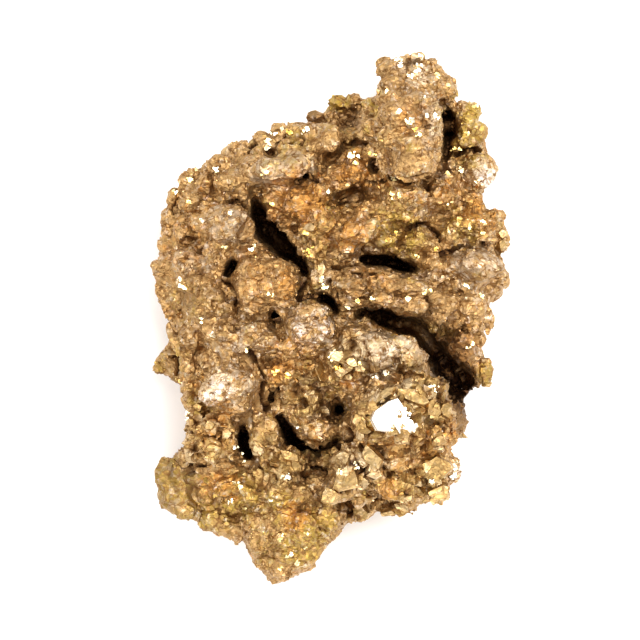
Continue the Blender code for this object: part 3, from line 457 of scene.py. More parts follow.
CROSS_BAR = (
    Boulder(5.0, 7.5, 5.0, 0.8, -4, 0.4),
    Boulder(3.2, 5.4, 3.2, 1.8, -5, 0.6),
    Boulder(8.8, 5.7, 3.4, 1.4, -8, 0.6),
    Boulder(13.0, 5.1, 3.0, 1.5, -12, 0.6),
    Boulder(3.6, 2.9, 2.6, 1.1, 0, 0.5),
    Boulder(8.2, 3.1, 2.4, 1.2, -5, 0.5),
    Boulder(12.8, 2.4, 2.8, 1.3, -8, 0.6),
    Boulder(16.6, 3.0, 2.3, 2.0, -20, 0.6),
    Boulder(1.2, 4.0, 1.3, 2.2, 10, 0.4),
    Boulder(17.0, 0.6, 1.5, 1.2, 0, 0.4),
    Boulder(2.0, 17.0, 2.3, 1.5, 20, 0.4),
    Boulder(5.6, 17.2, 2.4, 1.6, 20, 0.5),
    Boulder(3.0, 13.6, 2.4, 1.5, 35, 0.5),
    Boulder(6.2, 14.3, 3.2, 1.0, 55, 0.6),
    Boulder(2.3, 11.1, 1.6, 1.2, -40, 0.4),
    Boulder(8.6, 12.5, 1.9, 1.7, 0, 0.6),
    Boulder(6.7, 11.0, 1.3, 0.9, -20, 0.4),
    Boulder(10.7, 11.0, 1.6, 1.2, 0, 0.4),
    Boulder(13.6, 12.3, 2.3, 1.9, 0, 0.7),
    Boulder(12.8, 9.9, 1.7, 1.0, -15, 0.4),
    Boulder(12.8, 15.8, 2.4, 0.7, 0, 0.4),
)

RIGHT_SIDE = (
    Boulder(16.4, 11.4, 1.3, 1.7, 0, 0.4),
    Boulder(15.6, 8.9, 1.6, 1.4, 0, 0.4),
    Boulder(18.8, 13.3, 1.8, 1.5, 0, 0.5),
    Boulder(20.6, 15.0, 2.3, 1.2, 10, 0.4),
    Boulder(24.2, 14.6, 2.3, 1.3, 10, 0.5),
    Boulder(24.6, 12.5, 2.2, 1.0, 0, 0.5),
    Boulder(27.4, 12.4, 1.2, 1.9, 0, 0.5),
    Boulder(23.6, 8.4, 3.9, 3.0, -10, 0.8),
    Boulder(19.4, 8.2, 1.9, 1.9, 0, 0.4),
    Boulder(26.8, 6.4, 1.7, 2.0, 0, 0.4),
    Boulder(21.2, 5.6, 2.0, 1.4, 0, 0.4),
    Boulder(25.8, 4.6, 1.7, 1.1, 20, 0.4),
    Boulder(22.0, 2.0, 2.3, 2.2, 0, 0.7),
    Boulder(18.9, 2.6, 1.7, 2.2, 0, 0.5),
    Boulder(19.2, -0.3, 1.6, 1.4, 0, 0.5),
    Boulder(22.6, -0.7, 1.8, 1.4, 0, 0.5),
    Boulder(24.9, 0.0, 0.9, 2.8, 0, 0.3),
    Boulder(21.1, -3.3, 1.8, 1.6, 0, 0.6),
    Boulder(23.4, -3.3, 1.2, 1.6, -20, 0.4),
    Boulder(21.0, -5.6, 1.2, 1.0, 0, 0.4),
    Boulder(24.1, -8.2, 1.8, 2.9, 0, 0.7),
    Boulder(4.2, -2.5, 2.4, 1.5, -20, 0.5),
    Boulder(6.6, -3.8, 2.7, 2.1, -15, 0.6),
    Boulder(11.4, -3.6, 2.9, 1.5, -12, 0.5),
    Boulder(12.3, -5.5, 2.5, 1.8, 0, 0.6),
    Boulder(8.0, -6.2, 2.3, 1.6, 0, 0.5),
    Boulder(14.2, -6.2, 1.1, 1.8, 0, 0.4),
)

LOWER_RIGHT = (
    Boulder(16.3, -10.6, 2.2, 2.1, -40, 0.8),
    Boulder(13.6, -8.8, 1.6, 1.2, 0, 0.4),
    Boulder(8.6, -9.0, 2.6, 1.1, 0, 0.5),
    Boulder(12.6, -11.3, 3.2, 1.6, -15, 0.6),
    Boulder(7.6, -12.0, 2.2, 1.3, 20, 0.5),
    Boulder(5.6, -14.3, 1.9, 2.3, 0, 0.5),
    Boulder(18.1, -14.5, 1.3, 2.3, -10, 0.5),
    Boulder(15.6, -13.9, 1.5, 1.8, -20, 0.5),
    Boulder(10.0, -15.6, 3.4, 2.8, 0, 0.9),
    Boulder(4.9, -17.4, 1.4, 1.1, 0, 0.4),
    Boulder(16.6, -17.8, 2.2, 1.6, 0, 0.5),
    Boulder(17.2, -20.0, 1.8, 1.2, 0, 0.5),
    Boulder(19.2, -18.4, 1.0, 1.7, 0, 0.4),
    Boulder(10.6, -21.6, 2.9, 2.2, 0, 0.5),
    Boulder(16.3, -23.2, 2.5, 2.2, 0, 0.7),
    Boulder(19.7, -23.6, 1.1, 2.7, 0, 0.5),
    Boulder(8.6, -26.8, 1.9, 1.6, 0, 0.5),
    Boulder(11.2, -27.2, 1.8, 1.6, 0, 0.5),
    Boulder(13.8, -27.9, 1.4, 1.6, 0, 0.5),
    Boulder(17.0, -27.0, 2.4, 1.8, 10, 0.5),
    Boulder(10.0, -30.4, 2.6, 1.0, 0, 0.4),
    Boulder(13.2, -24.9, 1.6, 1.1, 0, 0.4),
    Boulder(6.0, -21.6, 2.6, 1.6, -50, 0.7),
    Boulder(2.6, -21.6, 1.7, 1.4, -20, 0.6),
    Boulder(2.6, -24.8, 2.2, 1.6, 0, 0.7),
    Boulder(0.2, -27.2, 1.9, 1.6, 0, 0.6),
    Boulder(7.6, -24.6, 1.3, 1.2, 0, 0.4),
    Boulder(5.0, -28.6, 2.3, 1.2, 20, 0.4),
    Boulder(4.6, -31.0, 1.7, 1.6, 0, 0.6),
    Boulder(7.6, -29.4, 1.8, 1.0, 10, 0.4),
    Boulder(-2.8, -25.4, 1.6, 1.5, 0, 0.5),
    Boulder(0.0, -31.6, 1.9, 2.2, 0, 0.5),
)

LOWER_MIDDLE = (
    Boulder(-2.0, -17.4, 3.0, 1.8, 0, 0.7),
    Boulder(-4.4, -14.6, 1.9, 1.4, -20, 0.5),
    Boulder(-8.7, -14.0, 1.2, 1.3, 0, 0.2),
    Boulder(-8.0, -15.4, 1.0, 1.0, 0, 0.1),
    Boulder(-3.2, -20.0, 1.6, 0.9, -15, 0.2),
    Boulder(16.6, 6.4, 1.7, 1.0, -30, 0.3),
    Boulder(18.6, 5.6, 1.4, 1.0, -30, 0.3),
    Boulder(16.4, -1.4, 1.0, 1.2, 0, 0.1),
    Boulder(17.4, -2.9, 1.0, 1.0, 0, 0.0),
    Boulder(-1.0, -12.2, 2.0, 1.1, 10, 0.4),
    Boulder(-3.6, -11.6, 1.6, 1.0, 0, 0.4),
    Boulder(-6.6, -12.2, 1.9, 1.0, 0, 0.4),
    Boulder(2.4, -11.2, 1.5, 1.0, 30, 0.4),
    Boulder(-5.9, -15.6, 0.9, 2.0, 25, 0.4),
    Boulder(-9.4, -17.0, 1.5, 2.3, 10, 0.6),
    Boulder(-11.6, -18.6, 1.2, 2.6, 0, 0.6),
    Boulder(-11.4, -15.4, 1.5, 1.1, 20, 0.4),
    Boulder(-7.8, -21.2, 2.1, 1.3, -20, 0.5),
    Boulder(-5.2, -22.8, 1.9, 1.3, -40, 0.5),
    Boulder(-1.4, -22.4, 1.4, 0.9, 20, 0.4),
    Boulder(-9.4, -22.8, 2.2, 1.3, -15, 0.5),
    Boulder(-7.0, -25.2, 1.9, 0.8, 25, 0.6),
    Boulder(-8.0, -27.2, 2.3, 1.6, 0, 0.4),
    Boulder(-4.9, -27.4, 2.2, 1.7, 0, 0.4),
    Boulder(-11.9, -24.6, 1.7, 1.4, 0, 0.4),
)

LOWER_LEFT = (
    Boulder(-15.2, -9.6, 3.4, 2.9, 0, 0.8),
    Boulder(-18.4, -11.6, 2.3, 2.6, 0, 0.8),
    Boulder(-14.2, -12.8, 2.2, 1.9, 0, 0.5),
    Boulder(-10.9, -8.2, 1.0, 2.4, 25, 0.5),
    Boulder(-18.0, -16.4, 2.3, 2.0, 0, 0.5),
    Boulder(-21.4, -16.0, 2.0, 2.2, 0, 0.5),
    Boulder(-22.3, -13.0, 1.7, 1.6, 0, 0.4),
    Boulder(-21.4, -20.4, 2.2, 2.3, -20, 0.5),
    Boulder(-18.2, -20.6, 2.2, 1.9, 0, 0.5),
    Boulder(-15.6, -19.4, 1.0, 2.4, 0, 0.4),
    Boulder(-16.6, -23.0, 2.2, 1.3, 0, 0.4),
    Boulder(-20.2, -23.4, 1.9, 1.0, -15, 0.4),
    Boulder(-26.0, -24.6, 2.2, 3.2, 0, 0.3),
    Boulder(-25.6, -28.2, 2.4, 2.6, 0, 0.3),
    Boulder(-22.9, -30.0, 2.0, 2.2, 0, 0.3),
    Boulder(-19.2, -31.9, 2.2, 2.2, 0, 0.3),
    Boulder(-16.9, -33.2, 1.8, 1.9, 0, 0.4),
    Boulder(-14.9, -34.0, 1.5, 1.7, 0, 0.3),
    Boulder(-20.0, -28.2, 2.4, 2.2, 0, 0.4),
    Boulder(-21.0, -25.4, 2.0, 1.3, 0, 0.4),
    Boulder(-17.2, -26.6, 1.9, 1.5, 0, 0.4),
    Boulder(-14.6, -26.6, 1.6, 1.3, -20, 0.5),
    Boulder(-15.6, -29.4, 1.8, 1.5, 0, 0.4),
    Boulder(-12.3, -27.6, 1.8, 1.5, 0, 0.4),
)

TOE = (
    Boulder(-12.0, -31.8, 2.2, 2.0, 0, 0.4),
    Boulder(-11.2, -35.2, 2.2, 2.2, 0, 0.4),
    Boulder(-7.9, -31.6, 2.2, 1.7, 0, 0.4),
    Boulder(-4.2, -31.9, 2.1, 1.8, 0, 0.5),
    Boulder(-7.4, -34.6, 1.9, 1.7, 0, 0.4),
    Boulder(-3.6, -34.6, 2.0, 1.5, 0, 0.4),
    Boulder(-7.2, -37.6, 2.2, 1.7, 0, 0.4),
    Boulder(-10.6, -38.4, 1.7, 1.8, 0, 0.4),
    Boulder(-4.6, -38.0, 2.0, 1.6, 0, 0.4),
    Boulder(-7.8, -40.4, 2.0, 1.5, 0, 0.3),
    Boulder(-1.4, -33.8, 1.7, 1.6, 0, 0.4),
)

BOULDERS = (
    CROWN + RIGHT_COLUMN + UPPER_MIDDLE + UPPER_LEFT + LEFT_SIDE + CENTRE + CROSS_BAR
    + RIGHT_SIDE + LOWER_RIGHT + LOWER_MIDDLE + LOWER_LEFT + TOE
)

NOTCHES = ((4.4, 37.7, 2.6), (23.2, 39.0, 3.3))

KEPT_CORNERS = ((-27.0, -7.0, 5.0), (25.0, -8.0, 4.0), (-8.5, -41.0, 6.0), (2.0, 35.0, 4.0))

# Cracks, each dented into the skin and darkened with painted shade.
CRACKS = (
    Crack(0.45, 1.6, ((-4.1, 8.0), (-4.2, 5.6), (-4.9, 3.2), (-3.6, 3.6), (-2.2, 3.6))),
    Crack(0.35, 1.1, ((-12.6, -5.0), (-11.4, -7.0), (-10.2, -9.0), (-10.9, -11.5), (-10.4, -13.4))),
    Crack(0.35, 0.9, ((-25.0, -5.0), (-24.5, -7.6), (-24.8, -9.0))),
    Crack(0.80, 1.8, ((-13.0, 28.4), (-12.5, 27.2))),
    Crack(0.50, 1.2, ((-10.0, 26.8), (-9.2, 26.5))),
    Crack(0.55, 1.6, ((6.4, 24.8), (6.9, 23.4))),
    Crack(0.35, 0.9, ((8.8, 22.2), (12.0, 21.6), (14.8, 22.4))),
    Crack(0.35, 0.9, ((23.8, 12.0), (25.6, 10.6))),
    Crack(0.50, 1.2, ((2.4, -16.6), (3.2, -18.6), (2.2, -19.6))),
    Crack(0.60, 1.1, ((-4.4, -21.6), (-4.2, -24.6))),
    Crack(0.40, 1.0, ((-11.0, -22.8), (-8.4, -23.2))),
    Crack(0.40, 1.4, ((19.8, 26.0), (21.5, 26.8), (23.6, 26.9))),
    Crack(0.35, 1.0, ((2.6, 27.3), (4.2, 28.0), (5.6, 27.4))),
    Crack(0.35, 1.0, ((5.4, 21.6), (6.8, 21.3), (8.4, 21.7))),
    Crack(0.40, 1.2, ((14.8, 21.4), (15.3, 20.3))),
    Crack(0.35, 1.2, ((12.0, 14.3), (13.6, 14.9), (15.2, 15.0), (16.6, 13.8), (17.2, 12.4))),
    Crack(0.35, 1.2, ((17.4, 10.2), (19.4, 11.0), (21.4, 11.8), (22.6, 11.0))),
    Crack(0.30, 0.9, ((0.4, 8.1), (2.6, 8.2), (4.2, 8.6))),
    Crack(0.30, 0.9, ((3.6, 6.9), (5.4, 7.2), (7.2, 6.7))),
    Crack(0.40, 1.3, ((-5.2, 21.6), (-4.0, 23.0), (-3.0, 22.2), (-1.8, 21.6))),
    Crack(0.30, 0.8, ((-8.4, 27.8), (-7.0, 27.9), (-5.8, 27.7))),
    Crack(0.35, 1.1, ((-17.6, 18.2), (-16.4, 18.6), (-14.9, 18.5), (-13.2, 17.6))),
    Crack(0.35, 1.1, ((-16.8, 6.4), (-15.4, 4.6), (-14.8, 2.4))),
    Crack(0.35, 1.2, ((-13.0, -4.8), (-12.2, -6.4))),
    Crack(0.40, 1.3, ((-10.2, -14.2), (-9.8, -11.6), (-8.4, -11.0))),
    Crack(0.35, 1.2, ((-3.2, -23.3), (-1.6, -23.6), (-0.6, -24.2))),
    Crack(0.35, 1.0, ((-23.6, -20.0), (-22.8, -22.0), (-21.8, -23.0), (-19.8, -23.0))),
    Crack(0.35, 1.0, ((3.4, -30.2), (2.8, -31.4))),
    Crack(0.35, 1.1, ((4.6, -19.6), (5.0, -22.0), (4.8, -24.4))),
    Crack(0.25, 0.6, ((-22.6, 12.8), (-21.2, 12.8))),
    Crack(0.35, 1.1, ((-0.2, 6.0), (0.6, 4.6), (1.0, 3.4))),
    Crack(0.30, 0.9, ((5.0, 11.4), (5.1, 10.2))),
)

FLASHES = (
    Flash(10.7, 40.3, 0.8, 0.6, 30, 0.0),
    Flash(13.7, 42.2, 0.6, 0.8, 0, 0.0),
    Flash(14.0, 40.9, 0.7, 0.35, -20, 0.1),
    Flash(13.9, 39.0, 1.2, 0.8, 35, 0.0),
    Flash(12.4, 37.9, 0.8, 0.4, 20, 0.0),
    Flash(16.6, 38.1, 0.35, 0.3, 0, 0.3),
    Flash(18.2, 36.5, 0.35, 0.3, 0, 0.3),
    Flash(8.8, 35.2, 0.4, 0.35, 0, 0.2),
    Flash(14.7, 34.4, 0.35, 0.3, 0, 0.0),
    Flash(10.6, 32.0, 0.5, 0.3, -40, 0.1),
    Flash(11.9, 31.0, 1.3, 0.6, -35, 0.1),
    Flash(15.0, 31.3, 0.4, 0.25, -40, 0.0),
    Flash(16.2, 31.3, 0.4, 0.2, -40, 0.0),
    Flash(13.0, 29.4, 0.4, 0.4, 0, 0.8),
    Flash(13.5, 28.3, 0.7, 0.3, 10, 0.3),
    Flash(20.0, 27.0, 1.0, 0.35, 5, 0.6),
    Flash(21.7, 29.6, 0.4, 0.4, 0, 0.5),
    Flash(22.9, 33.9, 0.5, 0.4, 0, 0.4),
    Flash(3.8, 25.8, 1.2, 0.45, 5, 0.1),
    Flash(6.6, 25.8, 0.5, 0.6, 0, 0.7),
    Flash(4.0, 24.3, 0.4, 0.3, 0, 0.4),
    Flash(2.5, 21.2, 0.6, 0.3, 10, 0.4),
    Flash(9.7, 22.0, 0.9, 0.25, -35, 0.2),
    Flash(10.0, 19.3, 0.6, 0.9, 0, 0.4),
    Flash(18.5, 22.8, 0.4, 0.35, 0, 0.4),
    Flash(20.7, 23.6, 0.8, 0.25, -50, 0.2),
    Flash(23.4, 21.6, 0.6, 0.5, 0, 0.2),
    Flash(18.8, 18.3, 0.8, 0.2, 20, 0.2),
    Flash(24.0, 15.5, 0.4, 0.4, 0, 0.2),
    Flash(22.0, 14.7, 0.7, 0.3, 25, 0.3),
    Flash(24.0, 13.7, 0.5, 0.2, 20, 0.3),
    Flash(13.4, 9.8, 0.45, 0.45, 0, 0.4),
    Flash(10.0, 13.6, 0.45, 0.4, 0, 0.7),
    Flash(16.6, 11.0, 0.5, 0.3, -10, 0.8),
    Flash(-9.8, 27.6, 0.7, 0.9, 20, 0.1),
    Flash(-9.2, 29.4, 0.6, 0.35, 20, 0.0),
    Flash(-7.8, 29.9, 0.3, 0.6, -20, 0.0),
    Flash(-6.4, 29.7, 0.5, 0.4, 0, 0.8),
    Flash(-4.3, 29.6, 0.8, 0.35, 30, 0.1),
    Flash(-18.3, 23.7, 0.35, 0.8, 30, 0.0),
    Flash(-22.3, 22.2, 0.5, 0.4, 0, 0.3),
    Flash(-21.2, 24.0, 0.35, 0.25, 0, 0.3),
    Flash(-24.8, 20.4, 0.3, 0.35, 0, 0.1),
    Flash(-22.1, 18.5, 0.3, 0.25, 0, 0.5),
    Flash(-10.3, 23.1, 0.7, 0.35, 30, 0.3),
    Flash(-0.9, 20.0, 0.7, 0.4, -35, 0.1),
    Flash(-9.1, 18.2, 0.3, 0.3, 0, 0.5),
    Flash(-20.0, 15.6, 0.45, 0.35, 0, 0.1),
    Flash(-15.4, 16.6, 0.4, 0.2, 30, 0.1),
    Flash(-12.3, 11.3, 0.45, 0.45, 0, 0.1),
    Flash(-16.8, 11.4, 0.45, 0.25, 0, 0.3),
    Flash(-3.4, 10.6, 0.9, 0.7, 40, 0.7),
    Flash(-1.1, 5.8, 0.6, 0.9, 0, 0.2),
    Flash(-23.8, 6.4, 0.35, 0.3, 0, 0.1),
    Flash(-23.3, 5.2, 0.5, 0.2, -10, 0.1),
    Flash(-20.5, 0.0, 0.45, 0.5, 0, 0.1),
    Flash(-18.6, -2.4, 0.45, 0.25, 10, 0.0),
    Flash(-13.3, -4.8, 0.4, 0.25, 10, 0.2),
    Flash(-9.4, 3.9, 0.35, 0.45, 0, 0.3),
    Flash(-3.9, 13.6, 0.5, 0.5, 0, 0.8),
    Flash(-19.3, -11.8, 0.35, 0.5, 0, 0.0),
    Flash(-17.4, -11.2, 0.4, 0.3, 20, 0.0),
    Flash(-8.5, -8.4, 0.6, 0.4, 20, 0.7),
    Flash(-6.9, -8.6, 0.4, 0.4, 0, 0.9),
    Flash(-24.3, -9.4, 0.4, 0.2, 30, 0.4),
    Flash(-24.6, -5.6, 0.35, 0.25, 0, 0.5),
    Flash(0.6, -5.6, 1.3, 0.7, -5, 0.2),
    Flash(3.9, -7.1, 1.2, 0.7, 20, 0.45),
    Flash(1.3, -7.9, 0.8, 0.5, 0, 0.8),
    Flash(6.6, 3.2, 0.35, 0.3, 0, 0.2),
    Flash(4.0, 2.8, 0.5, 0.3, 30, 0.5),
    Flash(3.0, 1.9, 0.5, 0.2, 0, 0.3),
    Flash(21.5, 5.4, 0.4, 0.25, 0, 0.2),
    Flash(23.7, 3.6, 0.3, 0.5, 20, 0.3),
    Flash(16.2, -10.6, 0.9, 0.6, -25, 0.1),
    Flash(6.9, -8.8, 0.45, 0.35, 0, 0.1),
    Flash(8.8, -8.4, 0.45, 0.3, 0, 0.1),
    Flash(22.0, -4.1, 0.6, 0.3, 30, 0.3),
    Flash(12.0, 3.2, 0.5, 0.2, 10, 0.3),
    Flash(15.0, 4.5, 0.5, 0.25, 30, 0.2),
    Flash(19.6, -22.8, 0.45, 0.8, 0, 0.0),
    Flash(19.5, -24.8, 0.4, 0.9, 10, 0.0),
    Flash(20.5, -23.6, 0.3, 1.3, 0, 0.1),
    Flash(18.8, -20.9, 0.45, 0.6, -20, 0.0),
    Flash(3.8, -22.6, 0.4, 1.0, 15, 0.1),
    Flash(1.4, -23.8, 0.4, 0.45, 0, 0.2),
    Flash(15.8, -25.1, 0.35, 0.25, 0, 0.0),
    Flash(-22.6, -15.5, 0.3, 0.8, -25, 0.0),
    Flash(-5.4, -16.9, 0.4, 0.35, 0, 0.0),
    Flash(-15.2, -25.5, 0.8, 0.35, -15, 0.1),
    Flash(-14.0, -26.5, 0.6, 0.45, -30, 0.3),
    Flash(-18.6, -27.8, 0.45, 0.4, 0, 0.6),
    Flash(-15.9, -28.7, 0.35, 0.4, -30, 0.1),
    Flash(-13.7, -29.7, 0.35, 0.35, 0, 0.3),
    Flash(-7.0, -24.7, 1.4, 0.4, 28, 0.0),
    Flash(-15.0, -20.0, 0.4, 0.6, 0, 0.1),
    Flash(-13.7, -21.7, 0.25, 0.9, 20, 0.1),
    Flash(-9.2, -28.6, 0.6, 0.2, -40, 0.1),
    Flash(-7.8, -34.2, 0.45, 0.7, 20, 0.4),
    Flash(-3.9, -33.6, 0.35, 0.3, 0, 0.4),
    Flash(-3.8, -36.0, 0.4, 0.35, 20, 0.1),
    Flash(-6.7, -37.2, 0.45, 0.45, 0, 0.1),
    Flash(-8.0, -39.6, 0.35, 0.6, 20, 0.5),
    Flash(-5.3, -38.5, 0.2, 0.2, 0, 0.1),
    Flash(8.6, -16.3, 1.6, 1.4, 20, 0.0),
    Flash(10.4, -14.5, 2.1, 1.9, 0, 0.0),
    Flash(12.3, -16.9, 1.1, 1.4, -35, 0.0),
)

FACETS = (
    Facet(16.4, -23.1, 2.2, 1.7, -10, 200, 12, 0.25),
    Facet(6.2, -21.4, 2.2, 1.2, -50, 220, 22, 0.7),
    Facet(7.2, -23.8, 1.4, 0.9, -30, 40, 34, 0.9),
    Facet(6.5, -13.4, 1.1, 1.4, 0, 160, 25, 0.2),
    Facet(8.3, -11.5, 1.8, 0.7, 40, 120, 30, 0.7),
    Facet(12.8, -11.7, 2.6, 1.3, -15, 90, 18, 0.45),
    Facet(14.2, -9.6, 1.4, 1.0, 0, 70, 30, 0.5),
    Facet(15.7, -13.7, 0.7, 1.5, -25, 20, 45, 0.15),
    Facet(18.2, -14.0, 1.0, 1.4, 0, 340, 28, 0.3),
    Facet(17.2, -16.0, 1.1, 1.2, 30, 300, 20, 0.3),
    Facet(4.4, -15.8, 1.2, 1.6, 20, 180, 28, 0.2),
    Facet(5.2, -17.3, 1.1, 0.8, 0, 210, 35, 0.1),
    Facet(13.8, -14.0, 1.0, 1.2, 20, 100, 30, 0.35),
    Facet(1.9, -21.4, 1.3, 0.9, -30, 130, 26, 0.8),
    Facet(2.5, -25.0, 2.2, 1.6, 10, 110, 26, 0.6),
    Facet(-0.2, -27.6, 1.6, 1.4, 0, 150, 30, 0.6),
    Facet(13.6, -27.3, 1.0, 1.4, 0, 250, 40, 0.05),
    Facet(16.8, -27.4, 1.9, 1.3, 20, 280, 25, 0.35),
    Facet(9.0, -30.9, 1.6, 0.6, 10, 270, 40, 0.7),
    Facet(11.2, -29.8, 1.2, 0.9, -30, 250, 30, 0.8),
    Facet(4.6, -31.0, 1.3, 1.3, 0, 200, 20, 0.5),
    Facet(14.8, -25.4, 0.9, 1.2, -20, 320, 35, 0.6),
    Facet(10.7, -17.5, 0.9, 1.0, 60, 180, 50, 0.2),
    Facet(17.0, -18.6, 1.1, 0.8, 20, 60, 30, 0.7),
    Facet(16.8, -19.8, 1.0, 0.8, 0, 100, 22, 0.9),
    Facet(-5.9, -15.2, 0.6, 1.6, 25, 150, 35, 0.6),
    Facet(-6.4, -12.0, 1.5, 0.7, -10, 100, 40, 0.3),
    Facet(-3.0, -12.6, 1.2, 0.8, 30, 200, 35, 0.4),
    Facet(-1.6, -8.2, 0.9, 1.6, 10, 0, 40, 0.25),
    Facet(-9.4, -18.2, 1.2, 1.0, 0, 120, 35, 0.3),
    Facet(-6.4, -21.4, 1.7, 0.9, -30, 70, 25, 0.35),
    Facet(-5.4, -23.0, 1.4, 0.7, -50, 330, 30, 0.3),
    Facet(-8.6, -22.9, 1.4, 0.5, -10, 250, 50, 0.1),
    Facet(-18.6, -20.4, 1.4, 1.0, 20, 260, 25, 0.35),
    Facet(-20.8, -21.0, 1.2, 1.0, 0, 200, 30, 0.3),
    Facet(-19.0, -16.6, 1.0, 0.8, -30, 150, 30, 0.4),
    Facet(-16.3, -18.0, 0.9, 0.7, 20, 60, 20, 0.85),
    Facet(-21.2, -14.0, 1.0, 0.8, 10, 180, 35, 0.25),
    Facet(2.6, -9.0, 1.0, 0.6, -10, 140, 25, 0.8),
    Facet(1.0, -5.7, 1.3, 0.8, 10, 48, 14, 1.0),
    Facet(3.3, -6.6, 1.2, 0.8, -30, 60, 12, 0.9),
    Facet(1.7, -8.1, 1.1, 0.8, 20, 40, 16, 0.85),
    Facet(4.6, -7.6, 0.9, 0.7, 0, 30, 18, 0.8),
    Facet(27.4, 13.6, 0.9, 0.7, 20, 30, 25, 0.7),
    Facet(27.3, 11.8, 0.8, 0.9, 0, 0, 30, 0.6),
    Facet(-1.6, 8.0, 0.8, 1.1, 0, 200, 25, 0.8),
    Facet(-3.4, 14.4, 0.9, 0.8, 20, 120, 25, 0.8),
)


SHINING_MIDDLE = (9.6, -15.0)
SHINING_OUTLINE = (
    (7.76, -13.53), (8.96, -12.61), (10.34, -12.15), (11.26, -13.53), (11.72, -15.18),
    (12.64, -15.64), (13.1, -16.75), (10.8, -17.85), (9.42, -15.55), (9.14, -17.21),
    (7.12, -16.93), (6.29, -15.37), (6.84, -14.08),
)


def plan(x: float, y: float) -> tuple[float, float]:
    """Gives the place of a drawn point in the row frame.

    Args:
        x: Drawn place across, in millimetres.
        y: Drawn place along, in millimetres.

    Returns:
        The same point's x and y in metres.
    """
    return (x + DRAWN_SHIFT[0]) * MM, (y + DRAWN_SHIFT[1]) * MM


class Tree:
    """A node tree under construction, with short calls for its nodes and links."""

    def __init__(self, tree: bpy.types.NodeTree) -> None:
        """Starts on an empty tree.

        Args:
            tree: The tree to write.
        """
        self.tree = tree
        self.column = 0

    def node(self, kind: str, *values: Value, **settings: object) -> bpy.types.Node:
        """Adds a node.

        Args:
            kind: The node's type name.
            *values: What goes into its inputs in order, with None to leave one alone.
            **settings: Its own properties.

        Returns:
            The new node.
        """
        made = self.tree.nodes.new(kind)
        made.location = (180 * (self.column % 12), -220 * (self.column // 12))
        self.column += 1
        for key, value in settings.items():
            setattr(made, key, value)
        for slot, value in zip(made.inputs, values):
            self.put(slot, value)
        return made

    def put(self, slot: Socket, value: Value) -> None:
        """Links or sets one input.

        Args:
            slot: The input.
            value: A socket to link from, or a plain value. None leaves it alone.
        """
        if isinstance(value, bpy.types.NodeSocket):
            self.tree.links.new(value, slot)
        elif value is not None:
            slot.default_value = value

    def math(self, operation: str, a: Value, b: Value = None, c: Value = None) -> Socket:
        """Adds a Math node.

        Args:
            operation: Its operation.
            a: First operand.
            b: Second operand.
            c: Third operand.

        Returns:
            Its result.
        """
        return self.node("ShaderNodeMath", a, b, c, operation=operation).outputs[0]

    def vector(self, operation: str, a: Value, b: Value = None, scale: Value = None) -> Socket:
        """Adds a Vector Math node.

        Args:
            operation: Its operation.
            a: First operand.
            b: Second operand.
            scale: The factor of a scale operation.

        Returns:
            Its vector, or its number for a dot product or a length.
        """
        made = self.node("ShaderNodeVectorMath", a, b, operation=operation)
        self.put(made.inputs[3], scale)
        return made.outputs["Value" if operation in ("DOT_PRODUCT", "LENGTH") else "Vector"]

    def ramp(self, value: Value, low: float, high: float, start: float = 0.0, end: float = 1.0) -> Socket:
        """Adds a clamped Map Range.

        Args:
            value: What is mapped.
            low: The value that gives start.
            high: The value that gives end.
            start: Result at low.
            end: Result at high.

        Returns:
            The mapped value.
        """
        made = self.node("ShaderNodeMapRange", value, low, high, start, end)
        made.interpolation_type = "SMOOTHSTEP"
        return made.outputs[0]

    def blend(self, factor: Value, a: Value, b: Value) -> Socket:
        """Adds a colour Mix.

        Args:
            factor: How much of b shows.
            a: The colour at 0.
            b: The colour at 1.

        Returns:
            The mixed colour.
        """
        made = self.tree.nodes.new("ShaderNodeMix")
        made.data_type = "RGBA"
        self.put(made.inputs[0], factor)
        self.put(made.inputs[6], a)
        self.put(made.inputs[7], b)
        return made.outputs[2]

    def noise(self, place: Value, size: Value, detail: float = 2.0, rough: float = 0.5) -> bpy.types.Node:
        """Adds a Noise Texture whose features are about the given size.

        Args:
            place: The coordinates, in metres.
            size: Size of the features, in metres.
            detail: Its octaves.
            rough: How strong the finer octaves are.

        Returns:
            The texture node.
        """
        scaled = self.vector("SCALE", place, scale=self.math("DIVIDE", 1.0, size))
        made = self.node("ShaderNodeTexNoise")
        self.put(made.inputs["Vector"], scaled)
        self.put(made.inputs["Scale"], 1.0)
        self.put(made.inputs["Detail"], detail)
        self.put(made.inputs["Roughness"], rough)
        return made

    def cells(self, place: Value, size: Value, feature: str = "F1") -> bpy.types.Node:
        """Adds a Voronoi Texture whose cells are about the given size.

        Args:
            place: The coordinates, in metres.
            size: Size of the cells, in metres.
            feature: Which Voronoi feature it gives.

        Returns:
            The texture node.
        """
        scaled = self.vector("SCALE", place, scale=self.math("DIVIDE", 1.0, size))
        made = self.node("ShaderNodeTexVoronoi", feature=feature)
        self.put(made.inputs["Vector"], scaled)
        self.put(made.inputs["Scale"], 1.0)
        return made

    def attribute(self, name: str) -> Socket:
        """Reads a number that the surface carries.

        Args:
            name: The attribute's name.

        Returns:
            Its value.
        """
        if self.tree.bl_idname == "ShaderNodeTree":
            return self.node("ShaderNodeAttribute", attribute_name=name).outputs["Fac"]
        made = self.node("GeometryNodeInputNamedAttribute", data_type="FLOAT")
        made.inputs["Name"].default_value = name
        return made.outputs["Attribute"]


